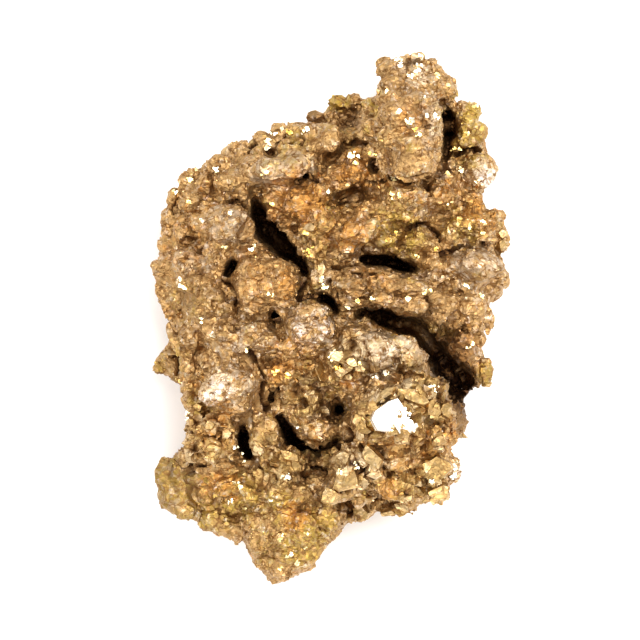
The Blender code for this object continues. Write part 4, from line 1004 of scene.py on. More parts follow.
def swirl(t: Tree, place: Value, reach: float, twist: float, stretch: float) -> Socket:
    """Bends and stretches coordinates so that a pattern runs in wandering strands.

    Args:
        t: The tree.
        place: The coordinates.
        reach: Over what distance the strands turn.
        twist: How far they are bent.
        stretch: How much shorter the pattern is read along the strands.

    Returns:
        The bent coordinates.
    """
    drift = t.vector("SUBTRACT", t.noise(place, reach, 1.5).outputs["Color"], (0.5, 0.5, 0.5))
    bent = t.vector("ADD", place, t.vector("SCALE", drift, scale=twist))
    return t.vector("MULTIPLY", bent, (stretch, 1.0, 1.0))


class Sockets(NamedTuple):
    """A named input of a tree and its value."""

    name: str
    kind: str
    value: object


def geometry_tree(name: str, inputs: Sequence[Sockets]) -> tuple[Tree, bpy.types.Node, bpy.types.Node]:
    """Starts a Geometry Nodes tree with named inputs.

    Args:
        name: The tree's name.
        inputs: Its inputs after the geometry.

    Returns:
        The tree, its input node and its output node.
    """
    group = bpy.data.node_groups.new(name, "GeometryNodeTree")
    group.interface.new_socket("Geometry", in_out="INPUT", socket_type="NodeSocketGeometry")
    for entry in inputs:
        made = group.interface.new_socket(entry.name, in_out="INPUT", socket_type=entry.kind)
        if entry.kind != "NodeSocketMaterial":
            made.default_value = entry.value
    group.interface.new_socket("Geometry", in_out="OUTPUT", socket_type="NodeSocketGeometry")
    tree = Tree(group)
    return tree, tree.node("NodeGroupInput"), tree.node("NodeGroupOutput")


def grow(obj: bpy.types.Object, tree: Tree, inputs: Sequence[Sockets], name: str) -> bpy.types.Object:
    """Runs a Geometry Nodes tree on an object and keeps the result as a plain mesh.

    Args:
        obj: What the tree works on. It is left as it is.
        tree: The tree.
        inputs: The values of the tree's named inputs.
        name: Name of the new piece.

    Returns:
        The new object.
    """
    carrier = bpy.data.objects.new(name + "_carrier", obj.data)
    bpy.context.scene.collection.objects.link(carrier)
    modifier = carrier.modifiers.new(tree.tree.name, "NODES")
    modifier.node_group = tree.tree
    ids = {s.name: s.identifier for s in tree.tree.interface.items_tree if s.in_out == "INPUT"}
    for entry in inputs:
        modifier[ids[entry.name]] = entry.value
    return settle(carrier, name)


def settle(carrier: bpy.types.Object, name: str) -> bpy.types.Object:
    """Turns an object and its modifiers into a plain mesh object, and removes the first.

    Args:
        carrier: The object with the modifiers.
        name: Name of the new piece.

    Returns:
        The new object.
    """
    graph = bpy.context.evaluated_depsgraph_get()
    mesh = bpy.data.meshes.new_from_object(
        carrier.evaluated_get(graph), preserve_all_data_layers=True, depsgraph=graph
    )
    mesh.name = name
    bpy.data.objects.remove(carrier)
    made = bpy.data.objects.new(name, mesh)
    bpy.context.scene.collection.objects.link(made)
    return made


def triangles(obj: bpy.types.Object) -> int:
    """Counts an object's triangles."""
    obj.data.calc_loop_triangles()
    return len(obj.data.loop_triangles)


def points_of(mesh: bpy.types.Mesh) -> np.ndarray:
    """Gives a mesh's points.

    Args:
        mesh: The mesh.

    Returns:
        One row of x, y and z for each point, in metres.
    """
    flat = np.empty(len(mesh.vertices) * 3, np.float32)
    mesh.vertices.foreach_get("co", flat)
    return flat.reshape(-1, 3)


@dataclass(frozen=True)
class TarnishAndPaintedLightGroup:
    """The tints of the tarnished surface, shared by the skin, the crystals and the druse, with painted shade in its
    creases, valleys, hollows and cracks and partly painted highlight in its pale and white spots.
    """

    brass: Colour = (0.428, 0.260, 0.104, 1.0)
    olive: Colour = (0.41, 0.272, 0.048, 1.0)
    rust: Colour = (0.465, 0.215, 0.048, 1.0)
    grey: Colour = (0.435, 0.335, 0.235, 1.0)
    # pale and white are partly the crust's own light tone and partly painted highlight on lumps that catch the light.
    pale: Colour = (0.63, 0.48, 0.31, 1.0)
    white: Colour = (0.86, 0.78, 0.72, 1.0)
    # brown is painted shade, laid into creases, valleys and the seams between grains.
    brown: Colour = (0.21, 0.105, 0.034, 1.0)
    # dark and black are painted shade, for deep hollows, cracks and the painted shade patches.
    dark: Colour = (0.13, 0.065, 0.03, 1.0)
    shadow_black: Colour = (0.045, 0.02, 0.01, 1.0)

    def build(self) -> bpy.types.NodeTree:
        """Builds the shader group, once.

        Returns:
            The group: its Colour, which carries the painted shade and painted highlight, and its Shade, which is lower
                in sheltered places.
        """
        found = bpy.data.node_groups.get("tarnish_and_painted_light")
        if found:
            return found
        group = bpy.data.node_groups.new("tarnish_and_painted_light", "ShaderNodeTree")
        group.interface.new_socket("Strength", in_out="INPUT", socket_type="NodeSocketFloat").default_value = 1.0
        group.interface.new_socket("Colour", in_out="OUTPUT", socket_type="NodeSocketColor")
        group.interface.new_socket("Shade", in_out="OUTPUT", socket_type="NodeSocketFloat")
        t = Tree(group)
        given = t.node("NodeGroupInput")
        place = t.node("ShaderNodeTexCoord").outputs["Object"]
        broad = t.noise(place, 3.2 * MM, 3.0, 0.7)
        broken = t.noise(place, 1.1 * MM, 3.0, 0.65)
        channels = t.node("ShaderNodeSeparateColor", broad.outputs["Color"])
        flecks = t.node("ShaderNodeSeparateColor", t.cells(place, 0.8 * MM).outputs["Color"])
        speck = t.math("SUBTRACT", broken.outputs[0], 0.5)
        colour: Value = self.brass
        # The pale and white tints are partly painted highlight, where their patches lie on lit lumps.
        for index, (tint, shade, drift) in enumerate((
            (Tint.GREY, self.grey, 0.50),
            (Tint.OLIVE, self.olive, 0.58),
            (Tint.RUST, self.rust, 0.52),
            (Tint.PALE, self.pale, 0.30),
            (Tint.WHITE, self.white, 0.0),
        )):
            loose = t.ramp(channels.outputs[index % 3], 0.52, 0.75, 0.0, drift)
            weight = t.math("MULTIPLY_ADD", t.attribute(tint.value), 0.8, loose)
            weight = t.math("MULTIPLY_ADD", speck, 1.4, weight)
            weight = t.math("MULTIPLY_ADD", t.math("SUBTRACT", flecks.outputs[index % 3], 0.5), 0.65, weight)
            weight = t.math("MULTIPLY", t.ramp(weight, 0.12, 0.95), given.outputs["Strength"])
            colour = t.blend(weight, colour, shade)
        # Painted shade: brown laid into creases and valleys, by how closed in each point is.
        crease = t.ramp(t.attribute("crease"), 0.14, 0.44, 0.0, 0.74)
        colour = t.blend(crease, colour, self.brown)
        valley = t.ramp(t.attribute("valley"), 0.38, 0.88, 0.0, 0.52)
        colour = t.blend(valley, colour, self.brown)
        # Painted shade: near-black in deep hollows, along cracks and over the painted shade patches.
        shelter = t.math("ADD", t.attribute("shelter"), t.math("MULTIPLY", speck, 0.2))
        deep = t.math("MAXIMUM", t.ramp(shelter, 0.80, 1.0), t.ramp(t.attribute("crack"), 0.4, 0.95))
        dark = t.attribute(Tint.DARK.value)
        shadow = t.blend(t.ramp(dark, 0.55, 0.95), self.dark, self.shadow_black)
        colour = t.blend(t.math("MAXIMUM", deep, dark), colour, shadow)
        t.node("NodeGroupOutput", colour, t.math("SUBTRACT", 1.0, deep))
        return group


@dataclass(frozen=True)
class FacetGroup:
    """Tiny crystal faces: every cell of the surface leans its own way."""

    def build(self) -> bpy.types.NodeTree:
        """Builds the shader group, once.

        Returns:
            The group: the leaning Normal, a Glint number that is the same over each cell, and a Line mask along the
                cell edges for painted shade in the seams between grains.
        """
        found = bpy.data.node_groups.get("facets")
        if found:
            return found
        group = bpy.data.node_groups.new("facets", "ShaderNodeTree")
        group.interface.new_socket("Size", in_out="INPUT", socket_type="NodeSocketFloat")
        group.interface.new_socket("Lean", in_out="INPUT", socket_type="NodeSocketFloat")
        group.interface.new_socket("Normal", in_out="OUTPUT", socket_type="NodeSocketVector")
        group.interface.new_socket("Glint", in_out="OUTPUT", socket_type="NodeSocketFloat")
        group.interface.new_socket("Line", in_out="OUTPUT", socket_type="NodeSocketFloat")
        t = Tree(group)
        given = t.node("NodeGroupInput")
        place = t.node("ShaderNodeTexCoord").outputs["Object"]
        normal = t.node("ShaderNodeNewGeometry").outputs["Normal"]
        drift = t.vector("SUBTRACT", t.noise(place, 0.8 * MM, 2.0).outputs["Color"], (0.5, 0.5, 0.5))
        uneven = t.vector("ADD", place, t.vector("SCALE", drift, scale=0.6 * MM))
        bent = swirl(t, uneven, 3.2 * MM, 7.0 * MM, 0.5)
        size = given.outputs["Size"]
        broad = t.cells(bent, size)
        fine = t.cells(bent, t.math("MULTIPLY", size, 0.45))
        mixed = t.vector("ADD", broad.outputs["Color"], t.vector("SCALE", fine.outputs["Color"], scale=0.8))
        leaning = t.vector("SUBTRACT", mixed, (0.9, 0.9, 0.9))
        leaning = t.vector("SCALE", leaning, scale=given.outputs["Lean"])
        turned = t.vector("NORMALIZE", t.vector("ADD", normal, leaning))
        glint = t.math(
            "MULTIPLY_ADD",
            t.node("ShaderNodeSeparateColor", fine.outputs["Color"]).outputs[0],
            0.45,
            t.math("MULTIPLY", t.node("ShaderNodeSeparateColor", broad.outputs["Color"]).outputs[1], 0.55),
        )
        # Line: painted shade along the seams between grains, broken up by noise.
        rims = t.cells(bent, t.math("MULTIPLY", size, 2.2), "DISTANCE_TO_EDGE").outputs["Distance"]
        broken = t.ramp(t.noise(place, 1.3 * MM, 2.0).outputs[0], 0.42, 0.56)
        line = t.math("MULTIPLY", t.ramp(rims, 0.12, 0.02), broken)
        t.node("NodeGroupOutput", turned, glint, line)
        return group


def new_material(name: str) -> tuple[bpy.types.Material, Tree, bpy.types.Node]:
    """Starts a material of one Principled shader.

    Args:
        name: The material's name.

    Returns:
        The material, its tree and its shader.
    """
    material = bpy.data.materials.new(name)
    material.use_nodes = True
    tree = Tree(material.node_tree)
    material.node_tree.nodes.clear()
    shader = tree.node("ShaderNodeBsdfPrincipled")
    output = tree.node("ShaderNodeOutputMaterial", shader.outputs[0])
    output.location = (600, 200)
    return material, tree, shader


@dataclass(frozen=True)
class SkinFinish:
    """The crusted, tarnished surface between the crystals, with painted shade in its hollows and along the seams
    between grains.
    """

    facet_size: float = 0.50 * MM
    facet_lean: float = 0.26
    smooth: float = 0.42
    rough: float = 0.62
    # line: strength of the painted shade along the seams between grains.
    line: float = 1.0
    metal: float = 0.92
    plate_low: Colour = (0.28, 0.165, 0.045, 1.0)
    plate_middle: Colour = (0.52, 0.35, 0.13, 1.0)
    plate_high: Colour = (0.72, 0.57, 0.35, 1.0)

    def material(self) -> bpy.types.Material:
        """Builds the material."""
        material, t, shader = new_material("pyrite_skin")
        tarnish_and_painted_light = t.node("ShaderNodeGroup", node_tree=TarnishAndPaintedLightGroup().build())
        tarnish_and_painted_light.inputs["Strength"].default_value = 0.9
        facets = t.node("ShaderNodeGroup", node_tree=FacetGroup().build())
        facets.inputs["Size"].default_value = self.facet_size
        still = t.math("MULTIPLY_ADD", t.attribute(Tint.BARE.value), -0.65, 1.0)
        t.put(facets.inputs["Lean"], t.math("MULTIPLY", still, self.facet_lean))
        glint = t.ramp(facets.outputs["Glint"], 0.1, 0.9, 0.77, 1.13)
        colour = t.vector("SCALE", tarnish_and_painted_light.outputs["Colour"], scale=glint)
        plate = t.attribute("plate")
        face = t.blend(t.ramp(plate, 0.0, 0.5), self.plate_low, self.plate_middle)
        face = t.blend(t.ramp(plate, 0.5, 1.0), face, self.plate_high)
        clean = t.math("MULTIPLY", t.attribute(Tint.COARSE.value), t.math("MULTIPLY_ADD", t.attribute("crease"), -1.2, 0.75))
        face = t.vector("SCALE", face, scale=t.math("MULTIPLY_ADD", glint, 0.6, 0.4))
        colour = t.blend(t.ramp(clean, 0.2, 0.6, 0.0, 0.75), colour, face)
        # Painted shade along the seams between grains.
        colour = t.blend(t.math("MULTIPLY", facets.outputs["Line"], self.line), colour, TarnishAndPaintedLightGroup().brown)
        t.put(shader.inputs["Base Color"], colour)
        shader.inputs["Metallic"].default_value = self.metal
        t.put(shader.inputs["Roughness"], t.ramp(facets.outputs["Glint"], 0.0, 1.0, self.rough, self.smooth))
        t.put(shader.inputs["Normal"], facets.outputs["Normal"])
        return material


@dataclass(frozen=True)
class CrystalFinish:
    """Clean crystal faces, each with a tone of its own, over the shared tints with their painted shade and highlight.
    """

    name: str
    smooth: float
    rough: float
    bright: float

    def material(self) -> bpy.types.Material:
        """Builds the material."""
        material, t, shader = new_material(self.name)
        tarnish_and_painted_light = t.node("ShaderNodeGroup", node_tree=TarnishAndPaintedLightGroup().build())
        tarnish_and_painted_light.inputs["Strength"].default_value = 0.8
        tone = t.attribute("tone")
        place = t.node("ShaderNodeTexCoord").outputs["Object"]
        film = t.noise(place, 0.35 * MM, 2.0, 0.6)
        level = t.math("MULTIPLY", t.ramp(tone, 0.0, 1.0, 0.72, self.bright), t.ramp(film.outputs[0], 0.3, 0.7, 0.85, 1.1))
        t.put(shader.inputs["Base Color"], t.vector("SCALE", tarnish_and_painted_light.outputs["Colour"], scale=level))
        shader.inputs["Metallic"].default_value = 1.0
        spread = t.math("MULTIPLY_ADD", film.outputs[0], 0.5, t.math("MULTIPLY", tone, 0.5))
        t.put(shader.inputs["Roughness"], t.ramp(spread, 0.25, 0.75, self.rough, self.smooth))
        bump = t.node("ShaderNodeBump")
        bump.inputs["Strength"].default_value = 0.25
        bump.inputs["Distance"].default_value = 0.05 * MM
        t.put(bump.inputs["Height"], t.noise(place, 0.22 * MM, 3.0, 0.6).outputs[0])
        t.put(shader.inputs["Normal"], bump.outputs[0])
        return material


@dataclass(frozen=True)
class PlateFinish:
    """Larger crystal faces and bright flakes, coloured by the tone each one carries, stained with the crust's colours
    and their painted shade, and whitened to a painted highlight where the tone is above one.
    """

    name: str
    shades: tuple[Colour, Colour, Colour]
    smooth: float
    rough: float
    dimmest: float = 0.7
    line: float = 0.6
    facet_size: float = 0.8 * MM
    facet_lean: float = 0.2
    stain_and_shade: float = 0.0
    stain_and_shade_level: float = 1.25
    # bare: near white, the colour of a painted highlight on faces whose tone is above one.
    bare: Colour = (1.0, 0.97, 0.90, 1.0)

    def material(self) -> bpy.types.Material:
        """Builds the material."""
        material, t, shader = new_material(self.name)
        tone = t.attribute("tone")
        place = t.node("ShaderNodeTexCoord").outputs["Object"]
        film = t.noise(swirl(t, place, 3.0 * MM, 6.0 * MM, 0.4), 0.6 * MM, 4.0, 0.7).outputs[0]
        low, middle, high = self.shades
        colour = t.blend(t.ramp(tone, 0.0, 0.5), low, middle)
        colour = t.blend(t.ramp(tone, 0.5, 1.0), colour, high)
        facets = t.node("ShaderNodeGroup", node_tree=FacetGroup().build())
        facets.inputs["Size"].default_value = self.facet_size
        facets.inputs["Lean"].default_value = self.facet_lean
        tarnish_and_painted_light = t.node("ShaderNodeGroup", node_tree=TarnishAndPaintedLightGroup().build())
        tarnish_and_painted_light.inputs["Strength"].default_value = 1.0
        # The crust's shared colour, with its tints and its painted shade.
        stained_and_shaded = t.vector("SCALE", tarnish_and_painted_light.outputs["Colour"], scale=self.stain_and_shade_level)
        # Mask of the painted highlight: faces whose tone is above one.
        bright = t.ramp(tone, 1.0, 1.4)
        colour = t.blend(self.stain_and_shade, colour, stained_and_shaded)
        level = t.math("MULTIPLY", t.ramp(film, 0.3, 0.7, self.dimmest, 1.15), t.ramp(facets.outputs["Glint"], 0.1, 0.9, self.dimmest, 1.15))
        colour = t.vector("SCALE", colour, scale=level)
        # Painted shade along the seams between grains.
        colour = t.blend(t.math("MULTIPLY", facets.outputs["Line"], self.line), colour, TarnishAndPaintedLightGroup().brown)
        # Faces of tone above one turn near white, a painted highlight.
        t.put(shader.inputs["Base Color"], t.blend(bright, colour, self.bare))
        shader.inputs["Metallic"].default_value = 1.0
        t.put(shader.inputs["Roughness"], t.ramp(film, 0.3, 0.7, self.rough, self.smooth))
        t.put(shader.inputs["Normal"], facets.outputs["Normal"])
        return material


@dataclass(frozen=True)
class FloorFinish:
    """A plain pale floor with a trace of unevenness."""

    shade: Colour = (0.96, 0.96, 0.96, 1.0)
    mottled: Colour = (0.93, 0.93, 0.935, 1.0)

    def material(self) -> bpy.types.Material:
        """Builds the material."""
        material, t, shader = new_material("studio_floor")
        place = t.node("ShaderNodeTexCoord").outputs["Object"]
        cloud = t.noise(place, 60 * MM, 3.0, 0.5)
        t.put(shader.inputs["Base Color"], t.blend(cloud.outputs[0], self.shade, self.mottled))
        shader.inputs["Roughness"].default_value = 0.9
        shader.inputs["Specular IOR Level"].default_value = 0.1
        return material


def random_value(t: Tree, kind: str, low: Value, high: Value, seed: int) -> Socket:
    """Adds a Random Value node.

    Args:
        t: The tree.
        kind: Its data type.
        low: Lowest value.
        high: Highest value.
        seed: Its fixed seed.

    Returns:
        The random value.
    """
    made = t.node("FunctionNodeRandomValue", data_type=kind)
    first = {"FLOAT_VECTOR": 0, "FLOAT": 2, "INT": 4}[kind]
    t.put(made.inputs[first], low)
    t.put(made.inputs[first + 1], high)
    made.inputs["Seed"].default_value = seed
    return made.outputs[{"FLOAT_VECTOR": 0, "FLOAT": 1, "INT": 2}[kind]]


def shard(t: Tree, corners: int, blocky: bool, seed: int) -> Socket:
    """Adds one broken crystal: the hull of a few corners on a cube or an octahedron.

    Args:
        t: The tree.
        corners: How many corners it has.
        blocky: Whether they lie on a cube, or else on an octahedron.
        seed: Its fixed seed.

    Returns:
        The crystal, about one unit across.
    """
    spread = random_value(t, "FLOAT_VECTOR", (-1.0, -1.0, -1.0), (1.0, 1.0, 1.0), seed)
    size = t.node("ShaderNodeSeparateXYZ", t.vector("ABSOLUTE", spread)).outputs
    join = "MAXIMUM" if blocky else "ADD"
    reach = t.math(join, t.math(join, size[0], size[1]), size[2])
    corner = t.vector("SCALE", spread, scale=t.math("DIVIDE", 0.45 if blocky else 0.66, reach))
    points = t.node("GeometryNodePoints")
    points.inputs["Count"].default_value = corners
    t.put(points.inputs["Position"], corner)
    return t.node("GeometryNodeConvexHull", points.outputs[0]).outputs[0]


def shards(t: Tree, seed: int) -> Socket:
    """Adds six broken crystals to pick from.

    Args:
        t: The tree.
        seed: Their fixed seed.

    Returns:
        The crystals as instances.
    """
    forms = t.node("GeometryNodeGeometryToInstance")
    for index, (corners, blocky) in enumerate(
        ((11, True), (9, True), (14, True), (7, False), (9, False), (12, False))
    ):
        t.put(forms.inputs[0], shard(t, corners, blocky, seed + index))
    return forms.outputs[0]


def new_object(name: str, mesh: bpy.types.Mesh) -> bpy.types.Object:
    """Makes an object of a mesh and links it.

    Args:
        name: Its name.
        mesh: Its mesh.

    Returns:
        The object.
    """
    made = bpy.data.objects.new(name, mesh)
    bpy.context.scene.collection.objects.link(made)
    return made


@dataclass
class BoulderField:
    """The lumps of the crust, placed one by one on the top."""

    cuts: int = 10
    squat: float = 0.8
    least_height: float = 0.75 * MM
    step_limit: float = 2.5 * MM
    upright: float = 0.7
    lift: float = 1.9
    seed: int = 5

    def ball(self) -> tuple[np.ndarray, np.ndarray]:
        """Gives an even ball of radius one.

        Returns:
            Its points and its triangles.
        """
        shape = bmesh.new()
        bmesh.ops.create_icosphere(shape, subdivisions=3, radius=1.0)
        shape.verts.index_update()
        points = np.array([v.co[:] for v in shape.verts])
        faces = np.array([[v.index for v in f.verts] for f in shape.faces])
        shape.free()
        return points, faces

    def block(self, ball: np.ndarray, rng: np.random.Generator) -> np.ndarray:
        """Cuts the ball to an irregular block with flat sides.

        Args:
            ball: The ball's points.
            rng: The random source.

        Returns:
            The block's points.
        """
        normals = rng.normal(size=(self.cuts, 3))
        normals /= np.linalg.norm(normals, axis=1)[:, None]
        reach = rng.uniform(0.68, 0.92, self.cuts)
        along = ball @ normals.T
        limit = np.where(along > 0.05, reach / np.maximum(along, 0.05), 9.0).min(axis=1)
        return ball * np.minimum(limit, 1.05)[:, None]

    def foot(self, lump: Boulder, ground: BVHTree) -> Optional[tuple[Vector, Matrix]]:
        """Finds where one lump stands and which way it faces.

        Args:
            lump: The lump.
            ground: The surface under it.

        Returns:
            The foot point and the lump's axes, or nothing when there is no ground.
        """
        x, y = plan(lump.x, lump.y)
        turn = math.radians(lump.turn)
        along = Vector((math.cos(turn), math.sin(turn), 0.0))
        across = Vector((-along.y, along.x, 0.0))
        steps = [Vector(), along * lump.long, -along * lump.long, across * lump.wide, -across * lump.wide]
        hits = []
        for step in steps:
            point, normal, _, _ = ground.ray_cast(Vector((x, y, 0.1)) + step * 0.6 * MM, Vector((0, 0, -1)))
            if point is not None:
                hits.append((point, normal))
        if not hits:
            return None
        top = max(point.z for point, _ in hits)
        near = [(point, normal) for point, normal in hits if point.z > top - self.step_limit]
        level = sum(point.z for point, _ in near) / len(near)
        up = sum((normal for _, normal in near), Vector()).normalized()
        up = (up * (1.0 - self.upright) + Vector((0, 0, self.upright))).normalized()
        side = up.cross(along).normalized()
        axes = Matrix((side.cross(up), side, up)).transposed()
        return Vector((x, y, level)), axes

    def build(self, ground: BVHTree) -> bpy.types.Mesh:
        """Builds every lump.

        Args:
            ground: The surface they stand on.

        Returns:
            The mesh of them all.
        """
        rng = np.random.default_rng(self.seed)
        ball, faces = self.ball()
        points, triangles_all = [], []
        for lump in BOULDERS:
            shape = self.block(ball, rng)
            found = self.foot(lump, ground)
            if found is None:
                LOG.warning("lump at %.1f, %.1f has no ground", lump.x, lump.y)
                continue
            foot, axes = found
            height = max(self.squat * min(lump.wide, lump.long) * MM, self.least_height)
            sizes = np.array([lump.long * MM, lump.wide * MM, height])
            turned = (shape * sizes) @ np.array(axes).T
            middle = foot + axes.col[2] * (lump.rise * self.lift * MM - height * 0.9)
            triangles_all.append(faces + len(points) * len(ball))
            points.append(turned + np.array(middle))
        mesh = bpy.data.meshes.new("boulders")
        mesh.from_pydata(np.concatenate(points).tolist(), [], np.concatenate(triangles_all).tolist())
        return mesh


@dataclass
class PyriteSkin:
    """The whole surface of the mass: lumps, knobs, cobbles, grains, folds, layers and cracks."""

    rough_pitch: float = 0.50 * MM
    pitch: float = 0.385 * MM
    most_triangles: int = 190_000
    inset: float = 0.45 * MM
    knob_spacing: float = 2.0 * MM
    knob_least: float = 1.3 * MM
    knob_most: float = 2.4 * MM
    side_inset: float = 1.3 * MM
    side_rim: float = 5.0 * MM
    lump_spacing: float = 4.6 * MM
    lump_least: float = 4.0 * MM
    lump_most: float = 7.5 * MM
    tint_depth: float = 4.5 * MM
    mottles: int = 320
    seed: int = 11
    cobble_size: float = 1.6 * MM
    cobble_height: float = 0.20 * MM
    grain_size: float = 0.85 * MM
    grain_height: float = 0.12 * MM
    fold_size: float = 1.9 * MM
    fold_height: float = 0.45 * MM
    plate_size: float = 2.3 * MM
    plate_tilt: float = 1.5
    layer_size: float = 1.1 * MM
    layer_height: float = 0.9 * MM
    crack_width: float = 0.6
    crease_reach: float = 1.3 * MM
    valley_reach: float = 5.0 * MM
    shelter_reach: float = 13.0 * MM
    rays: int = 24
    sharp: float = 22.0
    finish: SkinFinish = field(default_factory=SkinFinish)

    def build(self, node: bpy.types.Object) -> bpy.types.Object:
        """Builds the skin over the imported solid.

        Args:
            node: The solid's object. It isn't changed.

        Returns:
            The finished skin.
        """
        even = self.notched(self.fused(self.merged_copy(node), self.rough_pitch, 3))
        ground = BVHTree.FromObject(even, bpy.context.evaluated_depsgraph_get())
        measured = grow(even, *self.shelter_tree(), "skin_measured")
        bpy.data.objects.remove(even)
        spots = points_of(measured.data)
        below = self.tops(spots) - spots[:, 2]
        for corner_x, corner_y, radius in KEPT_CORNERS:
            x, y = plan(corner_x, corner_y)
            below[np.hypot(spots[:, 0] - x, spots[:, 1] - y) < radius * MM] = 0.0
        self.store(measured, "below", below)
        knobbed = grow(measured, *self.knob_tree(), "skin_knobbed")
        bpy.data.objects.remove(measured)
        shape = bmesh.new()
        shape.from_mesh(knobbed.data)
        shape.from_mesh(BoulderField().build(ground))
        shape.to_mesh(knobbed.data)
        shape.free()
        fused = self.fused(knobbed, self.pitch, 1)
        LOG.info("fused: %d triangles", triangles(fused))
        self.paint(fused)
        rough = self.thinned(grow(fused, *self.relief_tree(), "skin_relief"))
        bpy.data.objects.remove(fused)
        skin = grow(rough, *self.shelter_tree(), "pyrite_skin")
        bpy.data.objects.remove(rough)
        self.dress(skin)
        return skin

    def merged_copy(self, node: bpy.types.Object) -> bpy.types.Object:
        """Copies the solid's mesh with its loose triangles joined.

        Args:
            node: The solid's object.

        Returns:
            The copy.
        """
        shape = bmesh.new()
        shape.from_mesh(node.data)
        bmesh.ops.remove_doubles(shape, verts=shape.verts, dist=0.002 * MM)
        mesh = bpy.data.meshes.new("skin_base")
        shape.to_mesh(mesh)
        shape.free()
        mesh.materials.clear()
        return new_object("skin_base", mesh)

    def thinned(self, base: bpy.types.Object) -> bpy.types.Object:
        """Takes triangles out where the surface is flattest, such as the underside.

        Args:
            base: The object. It is removed.

        Returns:
            The new object.
        """
        thin = base.modifiers.new("thin", "DECIMATE")
        thin.ratio = min(1.0, self.most_triangles / triangles(base))
        return settle(base, "skin_thinned")

    def fused(self, base: bpy.types.Object, pitch: float, smoothing: int) -> bpy.types.Object:
        """Fuses everything in an object to one even mesh.

        Args:
            base: The object. It is removed.
            pitch: Side of the new mesh's squares.
            smoothing: How many times it is softened.

        Returns:
            The new object.
        """
        remesh = base.modifiers.new("even", "REMESH")
        remesh.mode = "VOXEL"
        remesh.voxel_size = pitch
        remesh.adaptivity = 0.0
        soften = base.modifiers.new("soften", "SMOOTH")
        soften.factor = 0.5
        soften.iterations = smoothing
        return settle(base, "skin_even")

    def notched(self, base: bpy.types.Object) -> bpy.types.Object:
        """Draws the outline in where it has a hollow corner.

        Args:
            base: The fused solid. It is changed.

        Returns:
            The same object.
        """
        spots = points_of(base.data)
        for notch_x, notch_y, radius in NOTCHES:
            x, y = plan(notch_x, notch_y)
            away = spots[:, :2] - (x, y)
            reach = np.maximum(np.linalg.norm(away, axis=1), 1e-6)
            out = np.maximum(radius * MM / reach, 1.0)
            spots[:, :2] = (x, y) + away * out[:, None]
        base.data.vertices.foreach_set("co", spots.astype(np.float32).ravel())
        base.data.update()
        return base

    def tops(self, spots: np.ndarray) -> np.ndarray:
        """Finds how high the mass stands around each point, in plan.

        Args:
            spots: The points.

        Returns:
            The height of the highest point within a cell of each.
        """
        column = np.floor(spots[:, :2] / (1.2 * MM)).astype(int)
        column -= column.min(axis=0) - 2
        high = np.zeros(column.max(axis=0) + 3)
        np.maximum.at(high, (column[:, 0], column[:, 1]), spots[:, 2])
        wide = high.copy()
        for step in ((-1, -1), (-1, 0), (-1, 1), (0, -1), (0, 1), (1, -1), (1, 0), (1, 1)):
            wide = np.maximum(wide, np.roll(high, step, axis=(0, 1)))
        return wide[column[:, 0], column[:, 1]]

    def knob_tree(self) -> tuple[Tree, list[Sockets]]:
        """Writes the tree that draws open surfaces in and covers the sides with knobs.

        Returns:
            The tree and its input values.
        """
        inputs = [
            Sockets("Inset", "NodeSocketFloat", self.inset),
            Sockets("Spacing", "NodeSocketFloat", self.knob_spacing),
            Sockets("Smallest", "NodeSocketFloat", self.knob_least),
            Sockets("Largest", "NodeSocketFloat", self.knob_most),
            Sockets("Side Inset", "NodeSocketFloat", self.side_inset),
        ]
        t, given, out = geometry_tree("knobs", inputs)
        place = t.node("GeometryNodeInputPosition").outputs[0]
        normal = t.node("GeometryNodeInputNormal").outputs[0]
        open_air = t.ramp(t.attribute("valley"), 0.62, 0.42)
        upward = t.node("ShaderNodeSeparateXYZ", normal).outputs[2]
        height = t.node("ShaderNodeSeparateXYZ", place).outputs[2]
        upright = t.math("MULTIPLY", t.ramp(upward, 0.75, 0.45), t.ramp(upward, -0.8, -0.4))
        lower = t.ramp(t.attribute("below"), self.side_rim, self.side_rim * 1.8)
        side = t.math("MULTIPLY", t.math("MULTIPLY", upright, lower), open_air)
        ledges = t.ramp(t.noise(t.vector("MULTIPLY", place, (0.55, 0.55, 1.0)), 5.0 * MM, 2.0).outputs[0], 0.35, 0.6, 0.35, 1.0)
        standing_wide = t.ramp(height, 0.5 * MM, 5.0 * MM, 0.2, 1.0)
        sides_in = t.math("MULTIPLY", t.math("MULTIPLY", side, given.outputs["Side Inset"]), t.math("MULTIPLY", ledges, standing_wide))
        facing = t.ramp(upward, -0.8, -0.4)
        inward = t.math("MULTIPLY", t.math("MULTIPLY", given.outputs["Inset"], open_air), facing)
        inward = t.math("ADD", inward, sides_in)
        drawn_in = t.node("GeometryNodeSetPosition")
        t.put(drawn_in.inputs["Geometry"], given.outputs["Geometry"])
        t.put(drawn_in.inputs["Offset"], t.vector("SCALE", normal, scale=t.math("MULTIPLY", inward, -1.0)))
        beside = t.math("MULTIPLY", t.math("MULTIPLY", upright, open_air), t.ramp(height, 1.5 * MM, 2.5 * MM))
        body = drawn_in.outputs[0]
        sizes = (given.outputs["Smallest"], given.outputs["Largest"])
        knobs = self.scatter(t, body, beside, (given.outputs["Spacing"], self.knob_spacing), sizes, 0.30, 3)
        lumps_on = t.math("MULTIPLY", side, t.ramp(height, 3.0 * MM, 4.0 * MM))
        lump_sizes = (self.lump_least, self.lump_most)
        lumps = self.scatter(t, body, lumps_on, (self.lump_spacing, self.lump_spacing), lump_sizes, 0.45, 83)
        both = t.node("GeometryNodeJoinGeometry")
        for part in (body, knobs, lumps):
            t.put(both.inputs[0], part)
        t.put(out.inputs[0], both.outputs[0])
        return t, inputs

